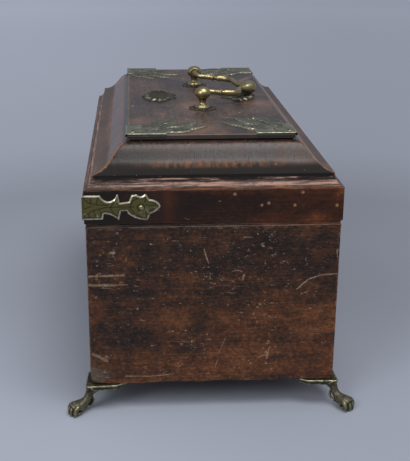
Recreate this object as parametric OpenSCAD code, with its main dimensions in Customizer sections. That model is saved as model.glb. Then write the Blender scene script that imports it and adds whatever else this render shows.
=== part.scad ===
// Mahogany caddy-topped box with brass mounts, a lifting lid, a swinging bail handle and a lock.
// X runs along the box, the front faces -Y, Z is up, and the origin is on the floor under its middle.

/* [Case] */
// Length of the case, end to end
case_l = 272; // [250:1:320]
// Depth of the case, front to back
case_w = 140; // [130:1:170]
// Height of the case from its underside to its rim
body_h = 94; // [80:1:120]
// Thickness of the front, back and end boards
board_t = 9; // [8.5:0.5:11]
// Thickness of the bottom board
bottom_t = 7; // [5:0.5:9]
// Thickness of a partition
partition_t = 5; // [4:0.5:6]
// Depth of the grooves that hold the partitions
groove_d = 2; // [1:0.5:3]
// Drop from the rim to the top edge of the partitions
partition_drop = 8; // [6:1:16]
// Thickness of the baize on the compartment floors
baize_t = 1.2; // [0.8:0.1:2]
// Room left in a glued or slid joint
joint_gap = 0.05; // [0.02:0.01:0.15]

/* [Lid] */
// Gap between the rim and the closed lid
seam_gap = 0.3; // [0.2:0.05:0.5]
// Height of the bead along the foot of the lid
bead_h = 3.1; // [2.6:0.1:4]
// How far the bead stands out from the case
bead_over = 1.1; // [0.9:0.1:1.6]
// How far the band stands out from the case
band_over = 0.7; // [0.3:0.1:0.8]
// Height of the band from the rim to its rounded edge
band_h = 21.7; // [18:0.1:28]
// Thickness of the band's rails, measured from the case face
rail_t = 9; // [8.5:0.5:10]
// Rise of the rounded edge above the band
thumb_h = 5.3; // [3.5:0.1:7]
// Inset of the ogee's foot from the case face
thumb_in = 4.1; // [3:0.1:5]
// Height of the fillet under the ogee
fillet_h = 1.8; // [1:0.1:3]
// Rise of the ogee
ogee_h = 14.3; // [11:0.1:18]
// Run of the ogee from its foot to its top
ogee_run = 17.9; // [15:0.1:22]
// Height of the groove under the top panel
quirk_h = 0.8; // [0.5:0.1:1.5]
// Inset of the panel's edge from the top of the ogee
panel_set = 1.2; // [1.1:0.1:2]
// Thickness of the panel's visible edge
panel_edge = 2.5; // [2:0.1:4]
// Thickness of the panel's tongue inside the frame
tongue_t = 5; // [3:0.5:7]

/* [Feet] */
// Height of a foot
foot_h = 16; // [14:0.5:20]
// Length of a foot's bracket along each side of the case
bracket_l = 20.5; // [17:0.5:24]
// Thickness of a foot's bracket, both tiers together
bracket_t = 2.8; // [2.2:0.1:3.4]
// How far the bracket stands out past the case
bracket_out = 3; // [2:0.1:4]
// Distance from the corner of the case to the middle of the paw
paw_reach = 10.8; // [9:0.1:14]
// Width of a paw
paw_w = 8.6; // [7:0.1:11]
// How far the legs of one diagonal pair of feet stand turned towards the long sides, in degrees
leg_askew = 15; // [0:1:25]
// Radius of a foot screw's shank
foot_screw_r = 1.3; // [1:0.1:1.6]
// Length of a foot screw
foot_screw_l = 11; // [8:0.5:16]

/* [Handle] */
// Distance between the middles of the two posts
post_span = 82; // [76:1:100]
// Radius of the knob on a post
knob_r = 5; // [4.6:0.1:5.5]
// Half the height of the knob
knob_half_h = 3.9; // [3.6:0.1:4.6]
// Height of the bail's axis above the panel
axis_up = 9.8; // [9:0.1:12]
// Radius of a post's neck
neck_r = 2.4; // [2.2:0.1:3.2]
// Radius of a post's base
post_base_r = 4.8; // [4.4:0.1:6]
// Radius of a rosette over its petals
rosette_r = 8.3; // [7.5:0.1:10]
// Thickness of a rosette
rosette_t = 0.8; // [0.6:0.1:1.2]
// Radius of a post's threaded shank
shank_r = 1.9; // [1.5:0.1:2.2]
// Radius of the bail's pivot pins
pivot_r = 1.3; // [1:0.1:1.5]
// Distance between the middles of the bail's arms
arm_span = 56; // [52:1:58]
// Reach of the bail from its axis to the middle of its grip
bail_reach = 34.8; // [32:0.1:38]
// Radius of the bail's arms
arm_r = 1.6; // [1.3:0.1:2]
// Radius of the swelling at the middle of the grip
grip_r = 4; // [3.4:0.1:4.2]
// Running clearance of the bail's pins and the hinge pins
run_gap = 0.05; // [0.03:0.01:0.1]

/* [Brass mounts] */
// Thickness of the mounts on the lid
mount_t = 0.9; // [0.7:0.1:1.3]
// Length of a corner mount's straight edge
strip_l = 21.5; // [18:0.5:26]
// How far a corner mount's edge is turned down over the panel
strip_drop = 0.8; // [0.5:0.1:1.8]
// Reach of a corner mount's long leaf from the corner
leaf_reach = 45.5; // [40:0.5:50]
// Height of a band mount
band_mount_h = 13.8; // [12:0.1:15.5]
// Length of a band mount's arm
band_mount_l = 42.3; // [36:0.1:50]
// Length of a rest plate
rest_l = 42; // [36:1:48]
// Width of a rest plate
rest_w = 18; // [16:0.5:20]
// Radius of a mount pin
pin_r = 0.6; // [0.5:0.05:0.8]
// Length of a mount pin in the wood
pin_l = 5; // [4:0.5:6.5]

/* [Hinges] */
// Length of a hinge
hinge_l = 34; // [28:1:44]
// Distance of a hinge's middle from the end of the case
hinge_end = 48; // [40:1:70]
// Width of a leaf from the back of the case
leaf_w = 7.4; // [6.5:0.1:7.8]
// Thickness of a leaf
leaf_t = 1.3; // [1.1:0.1:1.6]
// Radius of the knuckles
knuckle_r = 2.2; // [2:0.1:2.6]
// Radius of the hinge pin
hinge_pin_r = 1.1; // [0.9:0.05:1.25]
// Clearance round and between the knuckles
knuckle_gap = 0.3; // [0.2:0.05:0.4]
// Radius of a hinge screw's shank
hinge_screw_r = 0.9; // [0.7:0.1:1]
// Length of a hinge screw
hinge_screw_l = 8; // [6:0.5:11]

/* [Lock] */
// Length of the lock plate
lock_l = 47; // [46:1:56]
// Height of the lock plate
lock_h = 28; // [26:0.5:34]
// Depth of the lock in the front board
lock_d = 6.2; // [6:0.1:6.8]
// Thickness of the lock plate and the link plate
plate_t = 1.2; // [1:0.1:1.3]
// Thickness of the sheet that closes the lock
cap_t = 0.6; // [0.5:0.1:0.8]
// Travel of the bolt
bolt_travel = 5; // [4:0.1:5.5]
// Depth of the keyhole's middle below the rim
key_drop = 18; // [17:0.5:20]
// Radius of the round part of the keyhole
key_r = 2.2; // [2:0.1:2.5]
// Depth of the keyhole's slot below its middle
key_slot_l = 6; // [5:0.1:7]

/* [Hidden] */

$fn = 48;

// Small overlap that makes cuts break through a face
over = 1;

// Colours of the wood, the baize and the metals
dark_wood = [0.2, 0.09, 0.06];
band_wood = [0.24, 0.1, 0.06];
top_wood = [0.33, 0.24, 0.2];
inner_wood = [0.4, 0.24, 0.14];
baize = [0.12, 0.22, 0.16];
old_brass = [0.45, 0.42, 0.32];
foot_brass = [0.5, 0.43, 0.26];
bright_brass = [0.68, 0.53, 0.28];
iron = [0.3, 0.29, 0.28];

// Sides of the case, counted by quarter turns from the front
FRONT = 0;
RIGHT = 1;
BACK = 2;
LEFT = 3;

// Heights above the floor
floor_z = foot_h + bottom_t;
rim_z = foot_h + body_h;
lid_z = rim_z + seam_gap;
bead_z = rim_z + bead_h;
band_z = rim_z + band_h;
tread_z = band_z + thumb_h;
ogee_z = tread_z + fillet_h;
ogee_top_z = ogee_z + ogee_h;
panel_z = ogee_top_z + quirk_h;
top_z = panel_z + panel_edge;
tongue_z = panel_z - tongue_t;
axis_z = top_z + axis_up;

// Insets from the case face
bead_in = 2.4;
ogee_in = thumb_in + ogee_run;
panel_in = ogee_in + panel_set;
quirk_in = panel_in + 1.2;
frame_in = panel_in + 6.8;
ogee_base_in = thumb_in + 13;

// Half length and half depth of the top panel
panel_x = case_l / 2 - panel_in;
panel_y = case_w / 2 - panel_in;

// Room inside the case
inner_l = case_l - 2 * board_t;
inner_w = case_w - 2 * board_t;
partition_x = (inner_l + partition_t) / 6;

// Grip of the mitred sides past the case's corners, and how deep the mitres run
mitre_over = 6;
mitre_deep = frame_in + 3;

// Rounded edges: how far each one bulges
thumb_bulge = 1;
bead_bulge = 0.8;

// Hinge axis, level with the seam and behind the case
hinge_y = case_w / 2 + knuckle_r + knuckle_gap;
hinge_z = rim_z + seam_gap / 2;
hinge_x = case_l / 2 - hinge_end;
hinge_screw_y = case_w / 2 - 0.55 * leaf_w;
hinge_screw_step = hinge_l / 3.1;
knuckle_l = (hinge_l - 2 * knuckle_gap) / 3;

// Feet: the upper tier of a bracket, and the places of its two screws from the case corner
tier_t = 0.45 * bracket_t;
foot_screw_places = [[-0.6 * bracket_l, -board_t / 2], [-board_t / 2, -0.6 * bracket_l]];

// Lock: the wall in front of it, its middle plane and the bolt's levels below the rim
lock_in_y = -case_w / 2 + board_t;
lock_skin = board_t - lock_d;
lock_case_x = lock_l / 2 - 4;
lock_screw_x = lock_l / 2 - 2;
staple_x = 9;
staple_t = 2.4;
staple_w = 3.4;
staple_l = 8.2;
staple_wall = 0.8;
staple_y = lock_in_y - plate_t - 0.4 - staple_w / 2;
eye_h = 3.2;
eye_z = rim_z - staple_l + 1 + eye_h / 2;
bolt_t = 1.3;
bolt_y = staple_y;
prong_h = 2.2;
bar_z = rim_z - 13.6;
bar_h = 4;
bolt_gap = 0.5;
upright_w = 2;
lock_screw_r = 0.8;
lock_screw_l = 5;
link_w = 6.4;
key_z = rim_z - key_drop;
key_slot_w = 2.4;
escutcheon_h = 31;
escutcheon_w = 19;

// Places of the pins that hold the mounts, from the corner or the middle of each mount
corner_pins = [[3, 3], [0.36 * leaf_reach, 0.42 * strip_l], [0.8 * leaf_reach, 0.9 * strip_l]];
band_pin_s = 0.752 * band_mount_l;
rest_pin_x = 0.36 * rest_l;
rest_y = 0.747 * bail_reach;
rest_gap = 0.3;

// Drop of the grip below the bail's axis when the bail is folded, and depth of the pivot sockets
bail_drop = 3.8;
socket_depth = 3.4;

// Points of a circular arc from p to q, bulging by s to the right of the way from p to q
function arc(p, q, s, n) =
    let (
        c = norm(q - p),
        u = (q - p) / c,
        v = [u[1], -u[0]],
        r = (c * c / 4 + s * s) / (2 * s),
        o = (p + q) / 2 - v * (r - s),
        a = asin(c / 2 / r)
    )
    [for (i = [0 : n]) o + v * r * cos(a * (2 * i / n - 1)) + u * r * sin(a * (2 * i / n - 1))];

// Points of a Bezier curve
function bezier(a, b, c, d, n) =
    [for (i = [0 : n]) let (t = i / n, s = 1 - t)
        a * s * s * s + b * 3 * s * s * t + c * 3 * s * t * t + d * t * t * t];

// A smooth curve through rows of numbers, with n steps between one row and the next
function smooth(rows, n) =
    let (last = len(rows) - 1)
    concat([for (i = [0 : last - 1], j = [0 : n - 1])
        let (
            t = j / n,
            a = rows[max(i - 1, 0)],
            b = rows[i],
            c = rows[i + 1],
            d = rows[min(i + 2, last)]
        )
        (2 * b + (c - a) * t + (2 * a - 5 * b + 4 * c - d) * t * t
            + (3 * b - a - 3 * c + d) * t * t * t) / 2], [rows[last]]);

function unit(v) = v / norm(v);
function place(row) = [row[0], row[1], row[2]];

// A solid swept along rows of [x, y, z, half width, half height], with its width square to ref
module swept(rows, ref, sides) {
    last = len(rows) - 1;
    rings = [for (i = [0 : last])
        let (
            way = unit(place(rows[min(i + 1, last)]) - place(rows[max(i - 1, 0)])),
            side = unit(cross(ref, way)),
            up = cross(way, side)
        )
        for (j = [0 : sides - 1])
            let (a = 360 * j / sides)
            place(rows[i]) + side * rows[i][3] * cos(a) + up * rows[i][4] * sin(a)];
    caps = [place(rows[0]), place(rows[last])];
    start = len(rings);
    walls = [for (i = [0 : last - 1], j = [0 : sides - 1])
        let (a = i * sides + j, b = i * sides + (j + 1) % sides)
        each [[a, a + sides, b], [b, a + sides, b + sides]]];
    first_cap = [for (j = [0 : sides - 1]) [start, j, (j + 1) % sides]];
    last_cap = [for (j = [0 : sides - 1])
        [start + 1, last * sides + (j + 1) % sides, last * sides + j]];
    polyhedron(concat(rings, caps), concat(walls, first_cap, last_cap));
}

// One side of the case or lid: an outline of [inset from the case face, height] with mitred ends
module mitred_side(k, outline) {
    run = k % 2 == 0 ? case_l : case_w;
    across = k % 2 == 0 ? case_w : case_l;
    rotate(90 * k)
        intersection() {
            rotate([90, 0, 90])
                linear_extrude(run + 2 * mitre_over, center = true)
                    polygon([for (p = outline) [p[0] - across / 2, p[1]]]);
            linear_extrude(top_z)
                polygon([
                    [-run / 2 - mitre_over, -across / 2 - mitre_over],
                    [run / 2 + mitre_over, -across / 2 - mitre_over],
                    [run / 2 - mitre_deep, -across / 2 + mitre_deep],
                    [-run / 2 + mitre_deep, -across / 2 + mitre_deep]
                ]);
        }
}

// A pointed oval from p to q
module leaf(p, q, w) {
    c = norm(q - p);
    r = (c * c + w * w) / (4 * w);
    translate((p + q) / 2)
        rotate(atan2(q[1] - p[1], q[0] - p[0]))
            intersection() {
                translate([0, r - w / 2]) circle(r, $fn = 96);
                translate([0, w / 2 - r]) circle(r, $fn = 96);
            }
}

// A screw that points down from z = 0, with a slotted countersunk head
module screw(r, l) {
    head_r = 1.9 * r;
    slot_w = 0.45 * r;
    difference() {
        union() {
            translate([0, 0, -l]) cylinder(h = l, r = r);
            translate([0, 0, r - head_r]) cylinder(h = head_r - r, r1 = r, r2 = head_r);
        }
        translate([-head_r - over, -slot_w / 2, -slot_w]) cube([2 * (head_r + over), slot_w, 2 * slot_w]);
    }
}

// The room for that screw, with its clearance all round
module screw_room(r, l) {
    head_r = 1.9 * r;
    translate([0, 0, -l - 2 * joint_gap]) cylinder(h = l + over, r = r + joint_gap);
    translate([0, 0, r - head_r])
        cylinder(h = head_r - r, r1 = r + joint_gap, r2 = head_r + joint_gap);
    cylinder(h = over, r = head_r + joint_gap);
}

// A pin that points down from z = 0, with a low domed head of brass
module pin(l) {
    head_r = 1.7 * pin_r;
    translate([0, 0, -l]) cylinder(h = l + over / 2, r = pin_r);
    intersection() {
        translate([0, 0, -1.5 * pin_r]) sphere(r = 2.3 * pin_r);
        cylinder(h = 2 * pin_r, r = head_r);
    }
}

module pin_room(l) {
    translate([0, 0, -l - joint_gap]) cylinder(h = l + 2 * over, r = pin_r + joint_gap);
}

// Places of the four case corners, as signs of X and Y
module at_corner(sx, sy) {
    mirror([sx < 0 ? 1 : 0, 0, 0])
        mirror([0, sy < 0 ? 1 : 0, 0])
            translate([case_l / 2, case_w / 2, 0])
                children();
}

// Places of the foot screws, two at each corner
module at_foot_screws() {
    for (sx = [-1, 1], sy = [-1, 1])
        at_corner(sx, sy)
            for (p = foot_screw_places)
                translate([p[0], p[1], foot_h - bracket_t])
                    rotate([180, 0, 0])
                        children();
}

// Case boards

module board(k) {
    mitred_side(k, [[0, foot_h], [board_t, foot_h], [board_t, rim_z], [0, rim_z]]);
}

module keyhole(r, deep) {
    rotate([90, 0, 0]) cylinder(h = deep, r = r);
    translate([-key_slot_w / 2, -deep, -key_slot_l]) cube([key_slot_w, deep, key_slot_l]);
}

module partition_grooves() {
    for (s = [-1, 1])
        translate([s * partition_x - partition_t / 2 - joint_gap, -inner_w / 2 - groove_d, floor_z])
            cube([partition_t + 2 * joint_gap, inner_w + 2 * groove_d, body_h]);
}

module front_board() {
    color(dark_wood)
        difference() {
            board(FRONT);
            partition_grooves();
            translate([-lock_l / 2 - joint_gap, lock_in_y - plate_t - joint_gap, rim_z - lock_h])
                cube([lock_l + 2 * joint_gap, plate_t + joint_gap + over, lock_h + over]);
            translate([-lock_l / 2 - joint_gap, lock_in_y - lock_d, rim_z - plate_t])
                cube([lock_l + 2 * joint_gap, lock_d + over, plate_t + over]);
            translate([-lock_case_x - joint_gap, lock_in_y - lock_d, rim_z - lock_h + 2])
                cube([2 * (lock_case_x + joint_gap), lock_d + over, lock_h]);
            translate([0, lock_in_y, key_z]) keyhole(key_r, board_t + over);
            at_lock_screws() screw_room(lock_screw_r, lock_screw_l);
            at_foot_screws() screw_room(foot_screw_r, foot_screw_l);
            at_escutcheon_pins() pin_room(lock_skin - 0.4);
        }
}

module back_board() {
    color(dark_wood)
        difference() {
            board(BACK);
            partition_grooves();
            hinge_recess(rim_z - leaf_t);
            at_hinges() at_hinge_screws() screw_room(hinge_screw_r, hinge_screw_l);
            at_foot_screws() screw_room(foot_screw_r, foot_screw_l);
        }
}

module end_board(k) {
    color(dark_wood)
        difference() {
            board(k);
            at_foot_screws() screw_room(foot_screw_r, foot_screw_l);
        }
}

module bottom_board() {
    color(inner_wood)
        translate([-inner_l / 2 + joint_gap, -inner_w / 2 + joint_gap, foot_h])
            cube([inner_l - 2 * joint_gap, inner_w - 2 * joint_gap, bottom_t]);
}

module partition(s) {
    depth = inner_w + 2 * groove_d - 2 * joint_gap;
    color(inner_wood)
        translate([s * partition_x - partition_t / 2, -depth / 2, floor_z])
            cube([partition_t, depth, rim_z - partition_drop - floor_z]);
}

module compartment_linings() {
    cell = (inner_l - 2 * partition_t) / 3;
    color(baize)
        for (i = [-1, 0, 1])
            translate([i * (cell + partition_t) - cell / 2 + 0.3, -inner_w / 2 + 0.3, floor_z])
                cube([cell - 0.6, inner_w - 0.6, baize_t]);
}

// Feet

// A bracket in two tiers and a leg that swells into a paw; the leg runs along the local X axis
module foot(sx, sy) {
    half_w = paw_w / 2;
    low = foot_h - bracket_t;
    leg = smooth([
        [-0.8, low + 0.8, 4.1, 4.0],
        [-0.1, low - 0.5, 3.0, 2.9],
        [0.7, low - 1.7, 2.1, 2.2],
        [1.6, 0.62 * foot_h, 1.7, 1.9],
        [0.3 * paw_reach, 0.47 * foot_h, 1.8, 2.0],
        [0.52 * paw_reach, 0.34 * foot_h, 0.64 * half_w, 2.4],
        [0.8 * paw_reach, 3.5, 0.93 * half_w, 3.0],
        [1.02 * paw_reach, 3.2, half_w, 3.1],
        [1.2 * paw_reach, 2.6, 0.8 * half_w, 2.4],
        [1.28 * paw_reach, 2.0, 0.4 * half_w, 1.3]
    ], 3);
    color(foot_brass)
        at_corner(sx, sy)
            difference() {
                union() {
                    translate([0, 0, foot_h - tier_t])
                        linear_extrude(tier_t)
                            bracket_outline(bracket_out, bracket_l);
                    translate([0, 0, low])
                        linear_extrude(bracket_t - tier_t + over)
                            bracket_outline(0.85 * bracket_out, 0.93 * bracket_l);
                    rotate(sx * sy < 0 ? 45 + leg_askew : 45) {
                        swept([for (p = leg) [p[0], 0, p[1], p[2], p[3]]], [0, 1, 0], 12);
                        for (i = [-1.5 : 1 : 1.5])
                            toe(1.18 * paw_reach - 0.5 * i * i, i * paw_w / 4.2, 0.19 * paw_w);
                        heel_curl(0.2 * paw_reach, 0.31 * foot_h);
                    }
                }
                translate([-bracket_l, -bracket_l, foot_h])
                    cube([2 * bracket_l, 2 * bracket_l, foot_h]);
                translate([0, 0, -foot_h])
                    cube([4 * bracket_l, 4 * bracket_l, 2 * foot_h], center = true);
                for (p = foot_screw_places)
                    translate([p[0], p[1], low])
                        rotate([180, 0, 0])
                            screw_room(foot_screw_r, foot_screw_l);
            }
}

// Plan of a bracket that stands out by a distance and runs along both sides of the case
module bracket_outline(out, l) {
    tip = -1.5;
    inner = board_t / 2 + 1.9 * foot_screw_r + 0.8;
    polygon(concat(
        [[-l, -inner / 2], [-l, tip]],
        [[-0.72 * l, 0.75 * out], [0, out]],
        arc([0.3 * out, out], [out, 0.3 * out], -0.25 * out, 6),
        [[out, 0], [0.75 * out, -0.72 * l]],
        [[tip, -l], [-inner / 2, -l]],
        [[-inner, -0.85 * l], [-inner, -inner], [-0.85 * l, -inner]]
    ));
}

// A toe at the distance d along the leg, set aside by s
module toe(d, s, r) {
    translate([d, s, 0])
        hull() {
            translate([-2 * r, 0, 1.5 * r]) sphere(r = r, $fn = 16);
            translate([0.3 * r, 0, 0.6 * r]) sphere(r = r, $fn = 16);
        }
}

// The curl of hair behind the ankle, a small ring in the upright plane of the leg
module heel_curl(d, z) {
    translate([d, 0, z])
        rotate([90, 0, 0])
            rotate_extrude($fn = 32)
                translate([1.9, 0])
                    circle(r = 0.55, $fn = 16);
}

module foot_screws() {
    color(iron)
        at_foot_screws() screw(foot_screw_r, foot_screw_l);
}

// Lock

module at_lock_screws() {
    for (x = [-1, 1], z = [0.2, 0.84])
        translate([x * lock_screw_x, lock_in_y, rim_z - z * lock_h])
            rotate([-90, 0, 0])
                children();
}

module lock_plate() {
    color(old_brass)
        difference() {
            union() {
                translate([-lock_l / 2, lock_in_y - plate_t, rim_z - lock_h + joint_gap])
                    cube([lock_l, plate_t, lock_h - joint_gap]);
                translate([-lock_l / 2, lock_in_y - lock_d + joint_gap, rim_z - plate_t])
                    cube([lock_l, lock_d - joint_gap, plate_t]);
            }
            for (x = [-staple_x, staple_x])
                translate([x - staple_t / 2 - 1, staple_y - staple_w / 2 - 0.7, rim_z - plate_t - over])
                    cube([staple_t + 2, staple_w + 1, plate_t + 2 * over]);
            at_lock_screws() screw_room(lock_screw_r, lock_screw_l);
        }
}

module lock_cap() {
    high = lock_h - 2 - plate_t - joint_gap;
    deep = lock_d - plate_t - joint_gap;
    z = rim_z - plate_t - high;
    y = lock_in_y - lock_d + joint_gap;
    color(iron)
        difference() {
            translate([-lock_case_x, y, z])
                cube([2 * lock_case_x, deep, high]);
            translate([-lock_case_x + cap_t, y + cap_t, z + cap_t])
                cube([2 * (lock_case_x - cap_t), deep, high]);
            translate([0, lock_in_y, key_z]) keyhole(key_r + 0.3, board_t);
        }
}

// A bowed leaf that stands on the floor of the lock cap and comes up to the bolt, clear of the key
module lock_spring() {
    foot = [-lock_case_x + cap_t + 0.5, rim_z - lock_h + 2 + cap_t + joint_gap];
    tip = [-0.62 * lock_case_x, bar_z - 0.3];
    thick = [0.6, 0];
    color(iron)
        translate([0, bolt_y + bolt_t / 2, 0])
            rotate([90, 0, 0])
                linear_extrude(bolt_t)
                    polygon(concat(
                        arc(foot, tip, 1.6, 10),
                        arc(tip + thick, foot + 2 * thick, -1.6, 10)
                    ));
}

module lock_screws() {
    color(old_brass)
        at_lock_screws() screw(lock_screw_r, lock_screw_l);
}

// The bolt at rest is drawn back, with its two prongs beside the eyes of the link plate
module lock_bolt() {
    color(iron)
        translate([0, bolt_y - bolt_t / 2, 0]) {
            left = -staple_x - staple_t / 2 - bolt_travel - bolt_gap - upright_w;
            back = lock_in_y - plate_t - 0.3 - bolt_y + bolt_t / 2;
            translate([left, 0, bar_z])
                cube([2 * staple_x + 2 * upright_w, back, bar_h]);
            for (s = [-1, 1]) {
                x = s * staple_x - staple_t / 2 - bolt_travel - bolt_gap - upright_w;
                translate([x, 0, bar_z])
                    cube([upright_w, bolt_t, eye_z + prong_h / 2 - bar_z]);
                translate([x, 0, eye_z - prong_h / 2])
                    cube([upright_w + bolt_travel, bolt_t, prong_h]);
            }
        }
}

module at_escutcheon_pins() {
    for (p = [[0, 0.43], [0, -0.43], [-0.36, 0.08], [0.36, 0.08]])
        translate([p[0] * escutcheon_w, -case_w / 2, key_z - 1 + p[1] * escutcheon_h])
            rotate([90, 0, 0])
                children();
}

module keyhole_escutcheon() {
    half = escutcheon_h / 2;
    color(old_brass)
        difference() {
            translate([0, -case_w / 2, key_z - 1])
                rotate([90, 0, 0])
                    linear_extrude(mount_t) {
                        leaf([0, -half], [0, half], escutcheon_w * 0.7);
                        for (s = [-1, 1], i = [-1, 0, 1]) {
                            tip = [s * (0.5 - 0.1 * abs(i)) * escutcheon_w, (i * 0.8 + 0.1) * half];
                            leaf([0, i * half / 2], tip, escutcheon_w / 3);
                        }
                    }
            translate([0, lock_in_y, key_z]) keyhole(key_r, 2 * board_t);
            at_escutcheon_pins() pin_room(over);
        }
}

module escutcheon_pins() {
    color(old_brass)
        at_escutcheon_pins()
            translate([0, 0, mount_t]) pin(mount_t + lock_skin - 0.4);
}

module at_link_screws() {
    for (s = [-1, 1])
        translate([s * lock_screw_x * 0.86, staple_y, lid_z])
            rotate([180, 0, 0])
                children();
}

module link_plate() {
    color(old_brass)
        difference() {
            union() {
                translate([-lock_l / 2, staple_y - link_w / 2, lid_z])
                    cube([lock_l, link_w, plate_t]);
                for (s = [-1, 1])
                    translate([s * staple_x - staple_t / 2, staple_y - staple_w / 2, rim_z - staple_l])
                        cube([staple_t, staple_w, staple_l + seam_gap + over / 2]);
            }
            for (x = [-staple_x, staple_x])
                translate([x - staple_t, staple_y - staple_w / 2 + staple_wall, eye_z - eye_h / 2])
                    cube([2 * staple_t, staple_w - 2 * staple_wall, eye_h]);
            at_link_screws() screw_room(lock_screw_r, 1.4 * lock_screw_l);
        }
}

module link_plate_screws() {
    color(old_brass)
        at_link_screws() screw(lock_screw_r, 1.4 * lock_screw_l);
}

// Hinges

module at_hinges() {
    for (s = [-1, 1])
        translate([s * hinge_x, 0, 0])
            children();
}

// Screw places on the case's leaf, pointing down
module at_hinge_screws() {
    for (i = [-1, 0, 1])
        translate([i * hinge_screw_step, hinge_screw_y, rim_z])
            children();
}

// Screw places on the lid's leaf, pointing up
module at_lid_hinge_screws() {
    for (i = [-1, 0, 1])
        translate([i * hinge_screw_step, hinge_screw_y, lid_z])
            rotate([180, 0, 0])
                children();
}

module hinge_recess(z) {
    at_hinges()
        translate([-hinge_l / 2 - joint_gap, case_w / 2 - leaf_w - joint_gap, z])
            cube([hinge_l + 2 * joint_gap, leaf_w + 2 * bead_over + over, leaf_t + over]);
}

// A leaf from the height z, with its knuckles at the places xs
module hinge_leaf(z, xs) {
    edge = hinge_y - knuckle_r - knuckle_gap;
    difference() {
        union() {
            translate([-hinge_l / 2, case_w / 2 - leaf_w, z])
                cube([hinge_l, edge - case_w / 2 + leaf_w, leaf_t]);
            for (x = xs) {
                translate([x - knuckle_l / 2, edge - over, z])
                    cube([knuckle_l, over + knuckle_r + knuckle_gap, leaf_t]);
                translate([x - knuckle_l / 2, hinge_y, hinge_z])
                    rotate([0, 90, 0])
                        cylinder(h = knuckle_l, r = knuckle_r);
            }
        }
        translate([-hinge_l, hinge_y, hinge_z])
            rotate([0, 90, 0])
                cylinder(h = 2 * hinge_l, r = hinge_pin_r + run_gap);
    }
}

module hinge_body_leaf(s) {
    color(old_brass)
        translate([s * hinge_x, 0, 0])
            difference() {
                hinge_leaf(rim_z - leaf_t, [0]);
                at_hinge_screws() screw_room(hinge_screw_r, hinge_screw_l);
            }
}

module hinge_lid_leaf(s) {
    step = knuckle_l + knuckle_gap;
    color(old_brass)
        translate([s * hinge_x, 0, 0])
            difference() {
                hinge_leaf(lid_z, [-step, step]);
                at_lid_hinge_screws() screw_room(hinge_screw_r, hinge_screw_l);
            }
}

module hinge_pins() {
    head = 0.6;
    color(iron)
        at_hinges()
            translate([-hinge_l / 2 - knuckle_gap, hinge_y, hinge_z])
                rotate([0, 90, 0]) {
                    cylinder(h = hinge_l + 2 * knuckle_gap, r = hinge_pin_r);
                    translate([0, 0, -head]) cylinder(h = head, r = 1.5 * hinge_pin_r);
                    translate([0, 0, hinge_l + 2 * knuckle_gap]) cylinder(h = head, r = 1.5 * hinge_pin_r);
                }
}

module hinge_body_screws() {
    color(old_brass)
        at_hinges() at_hinge_screws() screw(hinge_screw_r, hinge_screw_l);
}

module hinge_lid_screws() {
    color(old_brass)
        at_hinges() at_lid_hinge_screws() screw(hinge_screw_r, hinge_screw_l);
}

// Lid woodwork

module band_rail(k) {
    color(band_wood)
        difference() {
            mitred_side(k, concat(
                [[-band_over, bead_z], [bead_in, bead_z], [bead_in, lid_z]],
                [[rail_t, lid_z], [rail_t, tread_z]],
                arc([thumb_in, tread_z], [-band_over, band_z], -thumb_bulge, 8)
            ));
            if (k == BACK) {
                hinge_recess(lid_z - over);
                at_hinges() at_lid_hinge_screws() screw_room(hinge_screw_r, hinge_screw_l);
            }
            if (k == FRONT) {
                translate([-lock_l / 2 - joint_gap, staple_y - link_w / 2 - joint_gap, lid_z - over])
                    cube([lock_l + 2 * joint_gap, link_w + 2 * joint_gap, plate_t + over]);
                at_link_screws() screw_room(lock_screw_r, 1.4 * lock_screw_l);
            }
            if (k != BACK)
                at_band_pins() pin_room(pin_l);
        }
}

module bead(k) {
    face = bead_bulge - bead_over;
    color(band_wood)
        difference() {
            mitred_side(k, concat(
                [[bead_in - joint_gap, lid_z], [bead_in - joint_gap, bead_z - joint_gap]],
                arc([face, bead_z - joint_gap], [face, lid_z], -bead_bulge, 8)
            ));
            if (k == BACK) {
                hinge_recess(lid_z - over);
                translate([-case_l / 2, hinge_y, hinge_z])
                    intersection() {
                        rotate([0, 90, 0]) cylinder(h = case_l, r = knuckle_r + knuckle_gap);
                        for (s = [-1, 1])
                            translate([case_l / 2 + s * hinge_x - hinge_l / 2 - over, -case_w, -case_w])
                                cube([hinge_l + 2 * over, 2 * case_w, 2 * case_w]);
                    }
            }
        }
}

module ogee(k) {
    foot = [thumb_in, ogee_z];
    head = [ogee_in, ogee_top_z];
    color(band_wood)
        difference() {
            mitred_side(k, concat(
                [[thumb_in, tread_z]],
                bezier(
                    foot,
                    foot + [0.564 * ogee_run, 0.126 * ogee_h],
                    foot + [0.654 * ogee_run, 0.895 * ogee_h],
                    head,
                    20
                ),
                [[quirk_in, ogee_top_z], [quirk_in, panel_z], [frame_in, panel_z]],
                [[frame_in, ogee_top_z - 7], [ogee_base_in, tread_z]]
            ));
            at_corner_pins() pin_room(pin_l - mount_t);
        }
}

module top_panel() {
    tongue_x = case_l / 2 - frame_in - joint_gap;
    tongue_y = case_w / 2 - frame_in - joint_gap;
    color(top_wood)
        difference() {
            union() {
                translate([-panel_x, -panel_y, panel_z])
                    cube([2 * panel_x, 2 * panel_y, panel_edge]);
                translate([-tongue_x, -tongue_y, tongue_z])
                    cube([2 * tongue_x, 2 * tongue_y, tongue_t + over]);
            }
            for (s = [-1, 1])
                translate([s * post_span / 2, 0, tongue_z - over])
                    cylinder(h = tongue_t + panel_edge + 2 * over, r = shank_r + joint_gap);
            at_corner_pins() pin_room(pin_l - mount_t);
            at_rest_pins() pin_room(pin_l - mount_t);
        }
}

// Mounts on the top panel

// Corners of the panel, each a quarter turn on from the last, with the long leaf along the local X
module at_panel_corner(k) {
    along = k % 2 == 0 ? panel_x : panel_y;
    across = k % 2 == 0 ? panel_y : panel_x;
    rotate(90 * k)
        translate([-along, -across, top_z])
            children();
}

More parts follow.
